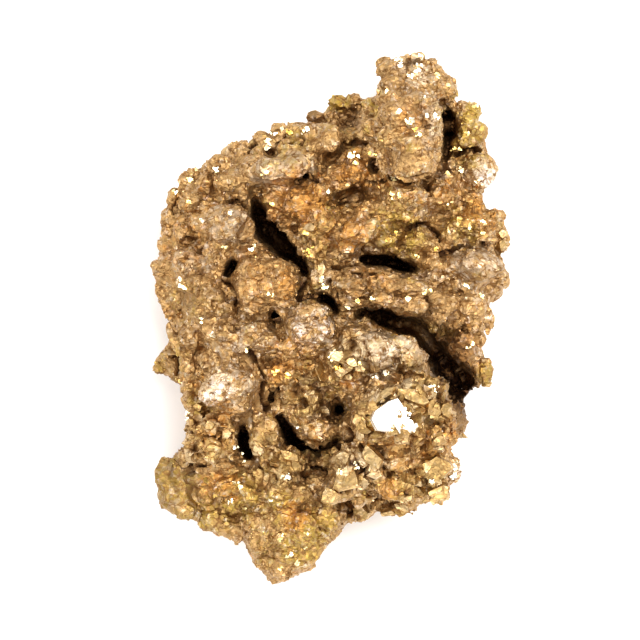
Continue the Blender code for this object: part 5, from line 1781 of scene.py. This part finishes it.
    def scatter(
        self, t: Tree, body: Socket, share: Socket, spacing: tuple[Value, float], sizes: tuple[Value, Value], sink: float, seed: int
    ) -> Socket:
        """Adds blocky knobs over part of a surface.

        Args:
            t: The tree.
            body: The surface.
            share: How much of each place is covered.
            spacing: The least distance between knobs, for the tree and as a number.
            sizes: The smallest and the largest knob.
            sink: How much of its size a knob's middle lies under the surface.
            seed: First of the seeds used.

        Returns:
            The knobs.
        """
        spots = t.node("GeometryNodeDistributePointsOnFaces", distribute_method="POISSON")
        t.put(spots.inputs["Mesh"], body)
        t.put(spots.inputs["Distance Min"], spacing[0])
        spots.inputs["Density Max"].default_value = 1.6 / spacing[1] ** 2
        t.put(spots.inputs["Density Factor"], share)
        spots.inputs["Seed"].default_value = seed
        size = random_value(t, "FLOAT", *sizes, seed + 1)
        sunk = t.node("GeometryNodeSetPosition")
        t.put(sunk.inputs["Geometry"], spots.outputs["Points"])
        t.put(sunk.inputs["Offset"], t.vector("SCALE", spots.outputs["Normal"], scale=t.math("MULTIPLY", size, -sink)))
        knobs = t.node("GeometryNodeInstanceOnPoints")
        t.put(knobs.inputs["Points"], sunk.outputs[0])
        t.put(knobs.inputs["Instance"], shards(t, seed + 57))
        knobs.inputs["Pick Instance"].default_value = True
        t.put(knobs.inputs["Instance Index"], random_value(t, "INT", 0, 5, seed + 3))
        t.put(knobs.inputs["Rotation"], random_value(t, "FLOAT_VECTOR", (0.0, 0.0, 0.0), (math.tau, math.tau, math.tau), seed + 4))
        t.put(knobs.inputs["Scale"], t.vector("SCALE", (1.0, 1.0, 1.0), scale=size))
        return t.node("GeometryNodeRealizeInstances", knobs.outputs[0]).outputs[0]

    def paint(self, obj: bpy.types.Object) -> None:
        """Writes the weight of every tint and crack on the surface as an attribute, the painted shade and partly
        painted highlight tints among them.

        Args:
            obj: The fused object.
        """
        spots = points_of(obj.data)
        below = self.tops(spots) - spots[:, 2]
        mottled = self.mottled(spots)
        for tint in Tint:
            weight = np.zeros(len(spots), np.float32)
            for patch in (p for p in PATCHES if p.tint is tint):
                x, y = plan(patch.x, patch.y)
                away = np.hypot(spots[:, 0] - x, spots[:, 1] - y) / (patch.radius * MM)
                soft = np.clip(1.35 - 0.85 * away, 0.0, 1.0)
                weight = np.maximum(weight, soft * soft * (3 - 2 * soft) * patch.strength)
            # The painted shade tint is kept much deeper into the hollows than the others.
            kept = np.clip(1.5 - below / (self.tint_depth * (12.0 if tint is Tint.DARK else 1.0)), 0.0, 1.0)
            self.store(obj, tint.value, weight * kept + mottled.get(tint, 0.0) * (1.0 - kept))
        facing = np.empty(len(spots) * 3, np.float32)
        obj.data.vertex_normals.foreach_get("vector", facing)
        upward = facing.reshape(-1, 3)[:, 2] > 0.15
        depth = np.zeros(len(spots), np.float32)
        for crack in CRACKS:
            away = self.distance(spots, [plan(x, y) for x, y in crack.path])
            soft = np.clip(1.5 - away / (crack.half_width * self.crack_width * MM), 0.0, 1.0)
            depth = np.maximum(depth, np.where(upward, soft * crack.depth, 0.0))
        self.store(obj, "crack", depth)

    def mottled(self, spots: np.ndarray) -> dict[Tint, np.ndarray]:
        """Works out the tints of the sides, where none was placed by hand.

        Args:
            spots: The points.

        Returns:
            The weight of each tint at each point.
        """
        rng = np.random.default_rng(self.seed)
        kinds = (Tint.OLIVE, Tint.RUST, Tint.GREY, Tint.OLIVE, Tint.COARSE, Tint.BARE, Tint.RUST, Tint.PALE)
        weights = {kind: np.zeros(len(spots), np.float32) for kind in kinds}
        low, high = np.array(CAD_BOX[0]), np.array(CAD_BOX[1])
        for index in range(self.mottles):
            kind = kinds[index % len(kinds)]
            middle = low + rng.random(3) * (high - low)
            radius, strength = rng.uniform(1.6, 5.4) * MM, rng.uniform(0.55, 1.1)
            soft = np.clip(1.35 - 0.85 * np.linalg.norm(spots - middle, axis=1) / radius, 0.0, 1.0)
            weights[kind] = np.maximum(weights[kind], soft * soft * (3 - 2 * soft) * strength)
        return weights

    def store(self, obj: bpy.types.Object, name: str, values: np.ndarray) -> None:
        """Stores one number per point.

        Args:
            obj: The object.
            name: The attribute's name.
            values: Its values.
        """
        layer = obj.data.attributes.new(name, "FLOAT", "POINT")
        layer.data.foreach_set("value", values.astype(np.float32))

    def distance(self, spots: np.ndarray, path: Sequence[tuple[float, float]]) -> np.ndarray:
        """Measures how far points are from a line, in plan.

        Args:
            spots: The points.
            path: The corners of the line.

        Returns:
            The distances.
        """
        least = np.full(len(spots), 1.0)
        for start, end in zip(path, path[1:]):
            a, b = np.array(start), np.array(end)
            share = np.clip(((spots[:, :2] - a) @ (b - a)) / float((b - a) @ (b - a)), 0.0, 1.0)
            least = np.minimum(least, np.linalg.norm(spots[:, :2] - (a + share[:, None] * (b - a)), axis=1))
        return least

    def relief_tree(self) -> tuple[Tree, list[Sockets]]:
        """Writes the tree that roughens the surface along its normals.

        Returns:
            The tree and its input values.
        """
        inputs = [
            Sockets("Cobble Size", "NodeSocketFloat", self.cobble_size),
            Sockets("Cobble Height", "NodeSocketFloat", self.cobble_height),
            Sockets("Grain Size", "NodeSocketFloat", self.grain_size),
            Sockets("Grain Height", "NodeSocketFloat", self.grain_height),
            Sockets("Fold Size", "NodeSocketFloat", self.fold_size),
            Sockets("Fold Height", "NodeSocketFloat", self.fold_height),
            Sockets("Layer Size", "NodeSocketFloat", self.layer_size),
            Sockets("Layer Height", "NodeSocketFloat", self.layer_height),
            Sockets("Plate Size", "NodeSocketFloat", self.plate_size),
        ]
        t, given, out = geometry_tree("relief", inputs)
        place = t.node("GeometryNodeInputPosition").outputs[0]
        normal = t.node("GeometryNodeInputNormal").outputs[0]
        wander = t.noise(place, 2.5 * MM, 2.0)
        wobble = t.vector("SCALE", t.vector("SUBTRACT", wander.outputs["Color"], (0.5, 0.5, 0.5)), scale=1.6 * MM)
        plain = t.vector("ADD", place, wobble)
        bent = swirl(t, plain, 5.0 * MM, 9.0 * MM, 0.5)
        cobble = self.tilted_cells(t, bent, given.outputs["Cobble Size"])
        height = t.math("MULTIPLY", cobble, given.outputs["Cobble Height"])
        grain = self.tilted_cells(t, bent, given.outputs["Grain Size"])
        height = t.math("MULTIPLY_ADD", grain, given.outputs["Grain Height"], height)
        creases = t.noise(bent, given.outputs["Fold Size"], 3.0, 0.6)
        ridge = t.math("ABSOLUTE", t.math("SUBTRACT", creases.outputs[0], 0.5))
        cut = t.math("SUBTRACT", t.ramp(ridge, 0.0, 0.09), 0.75)
        height = t.math("MULTIPLY_ADD", cut, t.math("MULTIPLY", given.outputs["Fold Height"], 0.6), height)
        smooth = t.math("MULTIPLY_ADD", t.attribute(Tint.BARE.value), -0.7, 1.0)
        height = t.math("MULTIPLY", height, smooth)
        plates = t.cells(plain, given.outputs["Plate Size"])
        lean = t.vector("SUBTRACT", plates.outputs["Color"], (0.5, 0.5, 0.5))
        scaled = t.vector("SCALE", plain, scale=t.math("DIVIDE", 1.0, given.outputs["Plate Size"]))
        tilt = t.vector("DOT_PRODUCT", t.vector("SUBTRACT", scaled, plates.outputs["Position"]), lean)
        plate = t.math("MULTIPLY", tilt, t.math("MULTIPLY", given.outputs["Plate Size"], self.plate_tilt))
        coarse = t.attribute(Tint.COARSE.value)
        height = t.math("MULTIPLY", height, t.math("MULTIPLY_ADD", coarse, -0.65, 1.0))
        height = t.math("MULTIPLY_ADD", plate, coarse, height)
        stretched = t.vector("MULTIPLY", plain, (0.25, 1.0, 1.25))
        sheets = t.noise(stretched, given.outputs["Layer Size"], 3.0, 0.6)
        folds = t.math("MULTIPLY", t.math("SUBTRACT", sheets.outputs[0], 0.5), given.outputs["Layer Height"])
        height = t.math("MULTIPLY_ADD", t.math("MULTIPLY", folds, 2.0), t.attribute(Tint.LAYERED.value), height)
        height = t.math("MULTIPLY_ADD", t.attribute("crack"), -MM, height)
        toned = t.node("GeometryNodeStoreNamedAttribute", data_type="FLOAT", domain="POINT")
        t.put(toned.inputs["Geometry"], given.outputs["Geometry"])
        toned.inputs["Name"].default_value = "plate"
        t.put(toned.inputs["Value"], t.node("ShaderNodeSeparateXYZ", plates.outputs["Color"]).outputs[0])
        moved = t.node("GeometryNodeSetPosition")
        t.put(moved.inputs["Geometry"], toned.outputs[0])
        t.put(moved.inputs["Offset"], t.vector("SCALE", normal, scale=height))
        place_after = t.node("GeometryNodeInputPosition").outputs[0]
        grounded = t.node("GeometryNodeSetPosition")
        t.put(grounded.inputs["Geometry"], moved.outputs[0])
        t.put(grounded.inputs["Position"], t.vector("MAXIMUM", place_after, (-1.0, -1.0, 0.0)))
        t.put(out.inputs[0], grounded.outputs[0])
        return t, inputs

    def tilted_cells(self, t: Tree, place: Socket, size: Socket) -> Socket:
        """Adds the height of cobbles whose tops each lean their own way.

        Args:
            t: The tree.
            place: The coordinates.
            size: Size of a cobble.

        Returns:
            The height, about zero in the mean and one unit tall.
        """
        cells = t.cells(place, size)
        lean = t.vector("SUBTRACT", cells.outputs["Color"], (0.5, 0.5, 0.5))
        scaled = t.vector("SCALE", place, scale=t.math("DIVIDE", 1.0, size))
        offset = t.vector("SUBTRACT", scaled, cells.outputs["Position"])
        slope = t.math("MULTIPLY", t.vector("DOT_PRODUCT", offset, lean), 1.6)
        dome = t.math("SUBTRACT", 0.36, t.math("POWER", cells.outputs["Distance"], 1.7))
        return t.math("ADD", dome, slope)

    def shelter_tree(self) -> tuple[Tree, list[Sockets]]:
        """Writes the tree that measures how closed in each point of the surface is.

        Returns:
            The tree and its input values.
        """
        inputs = [
            Sockets("Crease", "NodeSocketFloat", self.crease_reach),
            Sockets("Valley", "NodeSocketFloat", self.valley_reach),
            Sockets("Shelter", "NodeSocketFloat", self.shelter_reach),
            Sockets("Lift", "NodeSocketFloat", 0.08 * MM),
        ]
        t, given, out = geometry_tree("shelter", inputs)
        place = t.node("GeometryNodeInputPosition").outputs[0]
        normal = t.node("GeometryNodeInputNormal").outputs[0]
        start = t.vector("ADD", place, t.vector("SCALE", normal, scale=given.outputs["Lift"]))
        totals: dict[str, Value] = {"Crease": 0.0, "Valley": 0.0, "Shelter": 0.0}
        for index in range(self.rays):
            level = 1.0 - 2.0 * (index + 0.5) / self.rays
            turn = index * math.pi * (3.0 - math.sqrt(5.0))
            ring = math.sqrt(1.0 - level * level)
            aim = t.vector("ADD", normal, (ring * math.cos(turn), ring * math.sin(turn), level))
            ray = t.node("GeometryNodeRaycast")
            t.put(ray.inputs["Target Geometry"], given.outputs["Geometry"])
            t.put(ray.inputs["Source Position"], start)
            t.put(ray.inputs["Ray Direction"], t.vector("NORMALIZE", aim))
            t.put(ray.inputs["Ray Length"], given.outputs["Shelter"])
            for name in totals:
                near = t.math("LESS_THAN", ray.outputs["Hit Distance"], given.outputs[name])
                totals[name] = t.math("MULTIPLY_ADD", near, ray.outputs["Is Hit"], totals[name])
        shape = given.outputs["Geometry"]
        for name, total in totals.items():
            kept = t.node("GeometryNodeStoreNamedAttribute", data_type="FLOAT", domain="POINT")
            t.put(kept.inputs["Geometry"], shape)
            kept.inputs["Name"].default_value = name.lower()
            t.put(kept.inputs["Value"], t.math("DIVIDE", total, float(self.rays)))
            shape = kept.outputs[0]
        t.put(out.inputs[0], shape)
        return t, inputs

    def dress(self, skin: bpy.types.Object) -> None:
        """Gives the skin its finish and ties it to the solid.

        Args:
            skin: The finished skin.
        """
        skin.data.materials.clear()
        skin.data.materials.append(self.finish.material())
        skin.data.shade_smooth()
        skin.data.set_sharp_from_angle(angle=math.radians(self.sharp))
        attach(skin, BODY)
        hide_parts(NODE)


@dataclass
class PlateBank:
    """Flat-topped crystals and flakes that are placed one by one."""

    name: str
    thickness: float
    bevel: float
    seed: int
    finish: PlateFinish
    shape: bmesh.types.BMesh = field(default_factory=bmesh.new)
    tones: list[float] = field(default_factory=list)

    def outline(self, rng: random.Random, corners: int, ragged: float) -> list[tuple[float, float]]:
        """Gives an irregular outline about one unit in radius.

        Args:
            rng: The random source.
            corners: How many corners it has.
            ragged: How uneven it is.

        Returns:
            Its corners in order.
        """
        made = []
        for index in range(corners):
            turn = math.tau * (index + rng.uniform(-0.35, 0.35)) / corners
            reach = rng.uniform(1.0 - ragged, 1.0)
            made.append((reach * math.cos(turn), reach * math.sin(turn)))
        return made

    def add(self, outline: Sequence[tuple[float, float]], stand: Matrix, tone: float) -> None:
        """Adds one plate.

        Args:
            outline: Its corners on its own face.
            stand: Where it stands; its face is the frame's top plane.
            tone: Its tone.
        """
        single = bmesh.new()
        top = [single.verts.new(stand @ Vector((x, y, 0.0))) for x, y in outline]
        below = [single.verts.new(stand @ Vector((x * 1.06, y * 1.06, -self.thickness))) for x, y in outline]
        single.faces.new(top)
        single.faces.new(list(reversed(below)))
        count = len(outline)
        for index in range(count):
            after = (index + 1) % count
            single.faces.new((top[index], below[index], below[after], top[after]))
        if self.bevel > 0.0:
            rim = [edge for edge in single.edges if edge.verts[0] in top and edge.verts[1] in top]
            bmesh.ops.bevel(single, geom=rim, offset=self.bevel, segments=1, affect="EDGES", clamp_overlap=True)
        bmesh.ops.triangulate(single, faces=single.faces)
        mesh = bpy.data.meshes.new("one_plate")
        single.to_mesh(mesh)
        single.free()
        self.tones.extend([tone] * len(mesh.vertices))
        self.shape.from_mesh(mesh)
        bpy.data.meshes.remove(mesh)

    def finished(self) -> bpy.types.Object:
        """Makes the piece of all the plates.

        Returns:
            The piece.
        """
        bmesh.ops.recalc_face_normals(self.shape, faces=self.shape.faces)
        mesh = bpy.data.meshes.new(self.name)
        self.shape.to_mesh(mesh)
        self.shape.free()
        layer = mesh.attributes.new("tone", "FLOAT", "POINT")
        layer.data.foreach_set("value", self.tones)
        made = new_object(self.name, mesh)
        made.data.materials.append(self.finish.material())
        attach(made, BODY)
        return made


def standing(place: Vector, toward: float, lean: float, turn: float, long: float, wide: float) -> Matrix:
    """Works out how a leaning plate stands.

    Args:
        place: Middle of its face.
        toward: The way its face leans, in degrees from +X.
        lean: How far it leans, in degrees.
        turn: How its long side is turned, in degrees.
        long: Half its long side.
        wide: Half its short side.

    Returns:
        Its frame.
    """
    axis = Vector((-math.sin(math.radians(toward)), math.cos(math.radians(toward)), 0.0))
    tip = Matrix.Rotation(math.radians(lean), 4, axis)
    spin = Matrix.Rotation(math.radians(turn), 4, "Z")
    return Matrix.Translation(place) @ tip @ spin @ Matrix.Diagonal((long, wide, 1.0, 1.0))


@dataclass
class Facets:
    """The larger crystal faces, each with a lean and a tone of its own."""

    proud: float = 0.13 * MM
    spread: float = 1.2
    seed: int = 17

    def build(self, ground: BVHTree, bank: PlateBank) -> bpy.types.Object:
        """Builds every larger crystal.

        Args:
            ground: The skin they stand on.
            bank: The plates' piece.

        Returns:
            The piece.
        """
        rng = random.Random(self.seed)
        for facet in FACETS:
            x, y = plan(facet.x, facet.y)
            hit = ground.ray_cast(Vector((x, y, 0.1)), Vector((0, 0, -1)))[0]
            if hit is None:
                LOG.warning("crystal at %.1f, %.1f has no ground", facet.x, facet.y)
                continue
            steps = ((0.8, 0.0), (-0.8, 0.0), (0.0, 0.8), (0.0, -0.8))
            around = [ground.ray_cast(hit + Vector((dx * MM, dy * MM, 0.02)), Vector((0, 0, -1)))[0] for dx, dy in steps]
            hit.z = max([hit.z] + [point.z for point in around if point is not None and point.z < hit.z + 0.8 * MM])
            outline = bank.outline(rng, rng.choice((5, 6, 7, 8)), 0.42)
            lift = Vector((0, 0, self.proud))
            long, wide = facet.long * self.spread * MM, facet.wide * self.spread * MM
            stand = standing(hit + lift, facet.toward, facet.lean, facet.turn, long, wide)
            bank.add(outline, stand, facet.tone)
        # The shining plate faces the key light, and its tone of 1.6 whitens it to a painted highlight.
        x, y = plan(*SHINING_MIDDLE)
        hit = ground.ray_cast(Vector((x, y, 0.1)), Vector((0, 0, -1)))[0]
        if hit is not None:
            outline = [(px - SHINING_MIDDLE[0], py - SHINING_MIDDLE[1]) for px, py in SHINING_OUTLINE]
            stand = standing(hit + Vector((0, 0, 0.35 * MM)), KEY_TOWARD, KEY_LEAN, 0.0, MM, MM)
            bank.add(outline, stand, 1.6)
        return bank.finished()


@dataclass
class Flakes:
    """Groups of tiny flakes that lie in the same plane and light up together."""

    smallest: float = 0.26 * MM
    largest: float = 0.60 * MM
    each: float = 0.27
    sway: float = 8.0
    proud: float = 0.05 * MM
    drop: float = 2.0 * MM
    seed: int = 29

    def build(self, ground: BVHTree, bank: PlateBank) -> bpy.types.Object:
        """Builds every flake.

        Args:
            ground: The skin they lie on.
            bank: The flakes' piece.

        Returns:
            The piece.
        """
        rng = random.Random(self.seed)
        for flash in FLASHES:
            turn = math.radians(flash.turn)
            middle = ground.ray_cast(Vector((*plan(flash.x, flash.y), 0.1)), Vector((0, 0, -1)))[0]
            level = middle.z if middle is not None else 1.0
            for _ in range(max(3, round(math.pi * flash.long * flash.wide / self.each))):
                reach, angle = math.sqrt(rng.random()), rng.uniform(0.0, math.tau)
                along = flash.long * reach * math.cos(angle)
                across = flash.wide * reach * math.sin(angle)
                x, y = plan(
                    flash.x + along * math.cos(turn) - across * math.sin(turn),
                    flash.y + along * math.sin(turn) + across * math.cos(turn),
                )
                hit = ground.ray_cast(Vector((x, y, 0.1)), Vector((0, 0, -1)))[0]
                if hit is None or hit.z < level - self.drop:
                    continue
                size = rng.uniform(self.smallest, self.largest)
                lean = max(0.0, KEY_LEAN + rng.gauss(0.0, self.sway))
                toward = KEY_TOWARD + rng.gauss(0.0, 35.0)
                stand = standing(
                    hit + Vector((0, 0, self.proud)), toward, lean, rng.uniform(0, 360), size, size * rng.uniform(0.5, 1)
                )
                bank.add(bank.outline(rng, rng.choice((4, 5, 6)), 0.30), stand, flash.warmth + rng.uniform(0.0, 0.25))
        return bank.finished()


@dataclass
class Druse:
    """One coat of fine crystals over the skin."""

    name: str
    spacing: float
    smallest: float
    largest: float
    sink: float
    cover: float
    patchy: float
    seed: int
    finish: CrystalFinish

    def tree(self, material: bpy.types.Material) -> tuple[Tree, list[Sockets]]:
        """Writes the tree that scatters the crystals.

        Args:
            material: Their finish.

        Returns:
            The tree and its input values.
        """
        inputs = [
            Sockets("Spacing", "NodeSocketFloat", self.spacing),
            Sockets("Smallest", "NodeSocketFloat", self.smallest),
            Sockets("Largest", "NodeSocketFloat", self.largest),
            Sockets("Seed", "NodeSocketInt", self.seed),
            Sockets("Finish", "NodeSocketMaterial", material),
        ]
        t, given, out = geometry_tree(self.name, inputs)
        place = t.node("GeometryNodeInputPosition").outputs[0]
        clear = t.ramp(t.node("ShaderNodeSeparateXYZ", place).outputs[2], 0.5 * MM, 0.9 * MM)
        bare = t.math("SUBTRACT", 1.0, t.math("MULTIPLY", t.attribute(Tint.BARE.value), 0.9))
        open_air = t.ramp(t.attribute("shelter"), 0.9, 0.7)
        drift = t.noise(place, 3.0 * MM, 2.0).outputs[0]
        loose = t.ramp(drift, 0.40, 0.60, 1.0 - self.patchy, 1.0)
        plain = t.math("MULTIPLY_ADD", t.attribute(Tint.COARSE.value), -0.6, 1.0)
        crowded = t.math("MULTIPLY", t.math("MULTIPLY", loose, self.cover), plain)
        cover = t.math("MULTIPLY", t.math("MULTIPLY", clear, bare), t.math("MULTIPLY", open_air, crowded))
        spots = t.node("GeometryNodeDistributePointsOnFaces", distribute_method="POISSON")
        t.put(spots.inputs["Mesh"], given.outputs["Geometry"])
        t.put(spots.inputs["Distance Min"], given.outputs["Spacing"])
        spots.inputs["Density Max"].default_value = 1.6 / self.spacing**2
        t.put(spots.inputs["Density Factor"], cover)
        t.put(spots.inputs["Seed"], given.outputs["Seed"])
        forms = shards(t, self.seed + 5)
        pick = random_value(t, "INT", 0, 5, self.seed + 1)
        spin = random_value(t, "FLOAT_VECTOR", (0.0, 0.0, 0.0), (math.tau, math.tau, math.tau), self.seed + 2)
        size = t.node("FunctionNodeRandomValue", data_type="FLOAT")
        t.put(size.inputs[2], given.outputs["Smallest"])
        t.put(size.inputs[3], given.outputs["Largest"])
        t.put(size.inputs["Seed"], given.outputs["Seed"])
        stretch = random_value(t, "FLOAT_VECTOR", (0.75, 0.75, 0.6), (1.25, 1.25, 1.1), self.seed + 3)
        size_here = t.math("MULTIPLY", size.outputs[1], t.ramp(t.attribute(Tint.COARSE.value), 0.2, 0.9, 1.0, 1.35))
        sunk = t.node("GeometryNodeSetPosition")
        t.put(sunk.inputs["Geometry"], spots.outputs["Points"])
        depth = t.math("MULTIPLY", size_here, -self.sink)
        t.put(sunk.inputs["Offset"], t.vector("SCALE", spots.outputs["Normal"], scale=depth))
        crystals = t.node("GeometryNodeInstanceOnPoints")
        t.put(crystals.inputs["Points"], sunk.outputs[0])
        t.put(crystals.inputs["Instance"], forms)
        crystals.inputs["Pick Instance"].default_value = True
        t.put(crystals.inputs["Instance Index"], pick)
        t.put(crystals.inputs["Rotation"], spin)
        t.put(crystals.inputs["Scale"], t.vector("SCALE", stretch, scale=size_here))
        toned = t.node("GeometryNodeStoreNamedAttribute", data_type="FLOAT", domain="INSTANCE")
        t.put(toned.inputs["Geometry"], crystals.outputs[0])
        toned.inputs["Name"].default_value = "tone"
        t.put(toned.inputs["Value"], random_value(t, "FLOAT", 0.0, 1.0, self.seed + 4))
        real = t.node("GeometryNodeRealizeInstances", toned.outputs[0])
        dressed = t.node("GeometryNodeSetMaterial")
        t.put(dressed.inputs["Geometry"], real.outputs[0])
        t.put(dressed.inputs["Material"], given.outputs["Finish"])
        t.put(out.inputs[0], dressed.outputs[0])
        return t, inputs

    def build(self, skin: bpy.types.Object) -> bpy.types.Object:
        """Grows the coat on the skin.

        Args:
            skin: The finished skin.

        Returns:
            The piece.
        """
        made = grow(skin, *self.tree(self.finish.material()), self.name)
        made.data.shade_flat()
        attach(made, BODY)
        return made


@dataclass
class Studio:
    """The floor, the soft lights and the camera that looks straight down."""

    aim: tuple[float, float, float] = (-1.58 * MM, 0.48 * MM, 12 * MM)
    distance: float = 600 * MM
    half_view: float = 51.2 * MM
    floor_side: float = 3.0
    key_power: float = 4.5
    fill_power: float = 3.0
    sky: float = 0.97

    def build(self) -> None:
        """Sets up everything around the specimen."""
        self.floor()
        self.lamp("key", self.toward(KEY_TOWARD, KEY_ANGLE, 0.9), 0.30, self.key_power, (1.0, 0.97, 0.93))
        self.lamp("fill", self.toward(170.0, 42.0, 0.8), 0.45, self.fill_power, (1.0, 0.98, 0.96))
        self.lamp("low", self.toward(285.0, 50.0, 0.8), 0.45, self.fill_power, (1.0, 0.97, 0.93))
        self.lamp("side", self.toward(35.0, 58.0, 0.8), 0.35, self.fill_power, (1.0, 0.98, 0.95))
        self.world()
        self.camera()
        scene = bpy.context.scene
        scene.view_settings.view_transform = "Standard"

    def toward(self, turn: float, angle: float, away: float) -> tuple[float, float, float]:
        """Gives a place seen from the specimen.

        Args:
            turn: Its direction in plan, in degrees from +X.
            angle: How far it is from straight up, in degrees.
            away: Its distance.

        Returns:
            The place.
        """
        turned, tipped = math.radians(turn), math.radians(angle)
        flat = away * math.sin(tipped)
        return (
            self.aim[0] + flat * math.cos(turned),
            self.aim[1] + flat * math.sin(turned),
            self.aim[2] + away * math.cos(tipped),
        )

    def floor(self) -> None:
        """Lays the floor."""
        half = self.floor_side / 2
        mesh = bpy.data.meshes.new("floor")
        mesh.from_pydata([(-half, -half, 0), (half, -half, 0), (half, half, 0), (-half, half, 0)], [], [(0, 1, 2, 3)])
        mesh.materials.append(FloorFinish().material())
        made = bpy.data.objects.new("floor", mesh)
        made.location = (0.0, 0.0, -0.05 * MM)
        bpy.context.scene.collection.objects.link(made)

    def lamp(self, name: str, place: tuple[float, float, float], side: float, power: float, colour: tuple[float, float, float]) -> None:
        """Hangs a square softbox that faces the specimen.

        Args:
            name: Its name.
            place: Where it hangs, in metres.
            side: Length of its side.
            power: Its power in watts.
            colour: Its colour.
        """
        light = bpy.data.lights.new(name, "AREA")
        light.shape = "SQUARE"
        light.size = side
        light.energy = power
        light.color = colour
        made = bpy.data.objects.new(name, light)
        made.location = place
        made.rotation_euler = (Vector(self.aim) - Vector(place)).to_track_quat("-Z", "Y").to_euler()
        bpy.context.scene.collection.objects.link(made)

    def world(self) -> None:
        """Lights the room around."""
        world = bpy.data.worlds.new("room")
        world.use_nodes = True
        background = world.node_tree.nodes["Background"]
        background.inputs["Color"].default_value = (1.0, 0.985, 0.97, 1.0)
        background.inputs["Strength"].default_value = self.sky
        bpy.context.scene.world = world

    def camera(self) -> None:
        """Places the camera."""
        data = bpy.data.cameras.new("camera")
        data.angle = 2 * math.atan(self.half_view / self.distance)
        data.clip_start = 0.01
        data.clip_end = 10.0
        made = bpy.data.objects.new("camera", data)
        made.location = (self.aim[0], self.aim[1], self.aim[2] + self.distance)
        made.rotation_euler = (0.0, 0.0, 0.0)
        bpy.context.scene.collection.objects.link(made)
        bpy.context.scene.camera = made


def main() -> None:
    """Builds the dressed specimen and its studio."""
    logging.basicConfig(level=logging.INFO, format="%(name)s: %(message)s")
    skin = PyriteSkin().build(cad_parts[NODE])
    LOG.info("skin: %d triangles", triangles(skin))
    ground = BVHTree.FromObject(skin, bpy.context.evaluated_depsgraph_get())
    facet_finish = PlateFinish(
        "pyrite_facets", ((0.36, 0.22, 0.065, 1.0), (0.58, 0.40, 0.155, 1.0), (0.80, 0.635, 0.375, 1.0)), 0.34, 0.55, facet_lean=0.30, stain_and_shade=0.45
    )
    facets = Facets().build(ground, PlateBank("pyrite_facets", 1.2 * MM, 0.05 * MM, 17, facet_finish))
    LOG.info("facets: %d triangles", triangles(facets))
    flake_finish = PlateFinish(
        "pyrite_flakes", ((0.95, 0.88, 0.72, 1.0), (1.0, 0.80, 0.34, 1.0), (1.0, 0.62, 0.12, 1.0)), 0.24, 0.42, 0.8, 0.0,
    )
    flakes = Flakes().build(ground, PlateBank("pyrite_flakes", 0.12 * MM, 0.0, 29, flake_finish))
    LOG.info("flakes: %d triangles", triangles(flakes))
    blocks = CrystalFinish("pyrite_blocks", 0.34, 0.58, 1.2)
    glitter = CrystalFinish("pyrite_glitter", 0.24, 0.50, 1.15)
    coats = (
        Druse("druse_blocks", 1.3 * MM, 0.9 * MM, 1.8 * MM, 0.34, 0.25, 0.9, 21, blocks),
        Druse("druse_grains", 0.75 * MM, 0.45 * MM, 0.95 * MM, 0.28, 0.45, 0.8, 31, blocks),
        Druse("druse_glitter", 0.5 * MM, 0.25 * MM, 0.48 * MM, 0.15, 0.6, 0.9, 41, glitter),
    )
    for coat in coats:
        piece = coat.build(skin)
        LOG.info("%s: %d triangles", coat.name, triangles(piece))
    Studio().build()


if __name__ == "__main__":
    main()
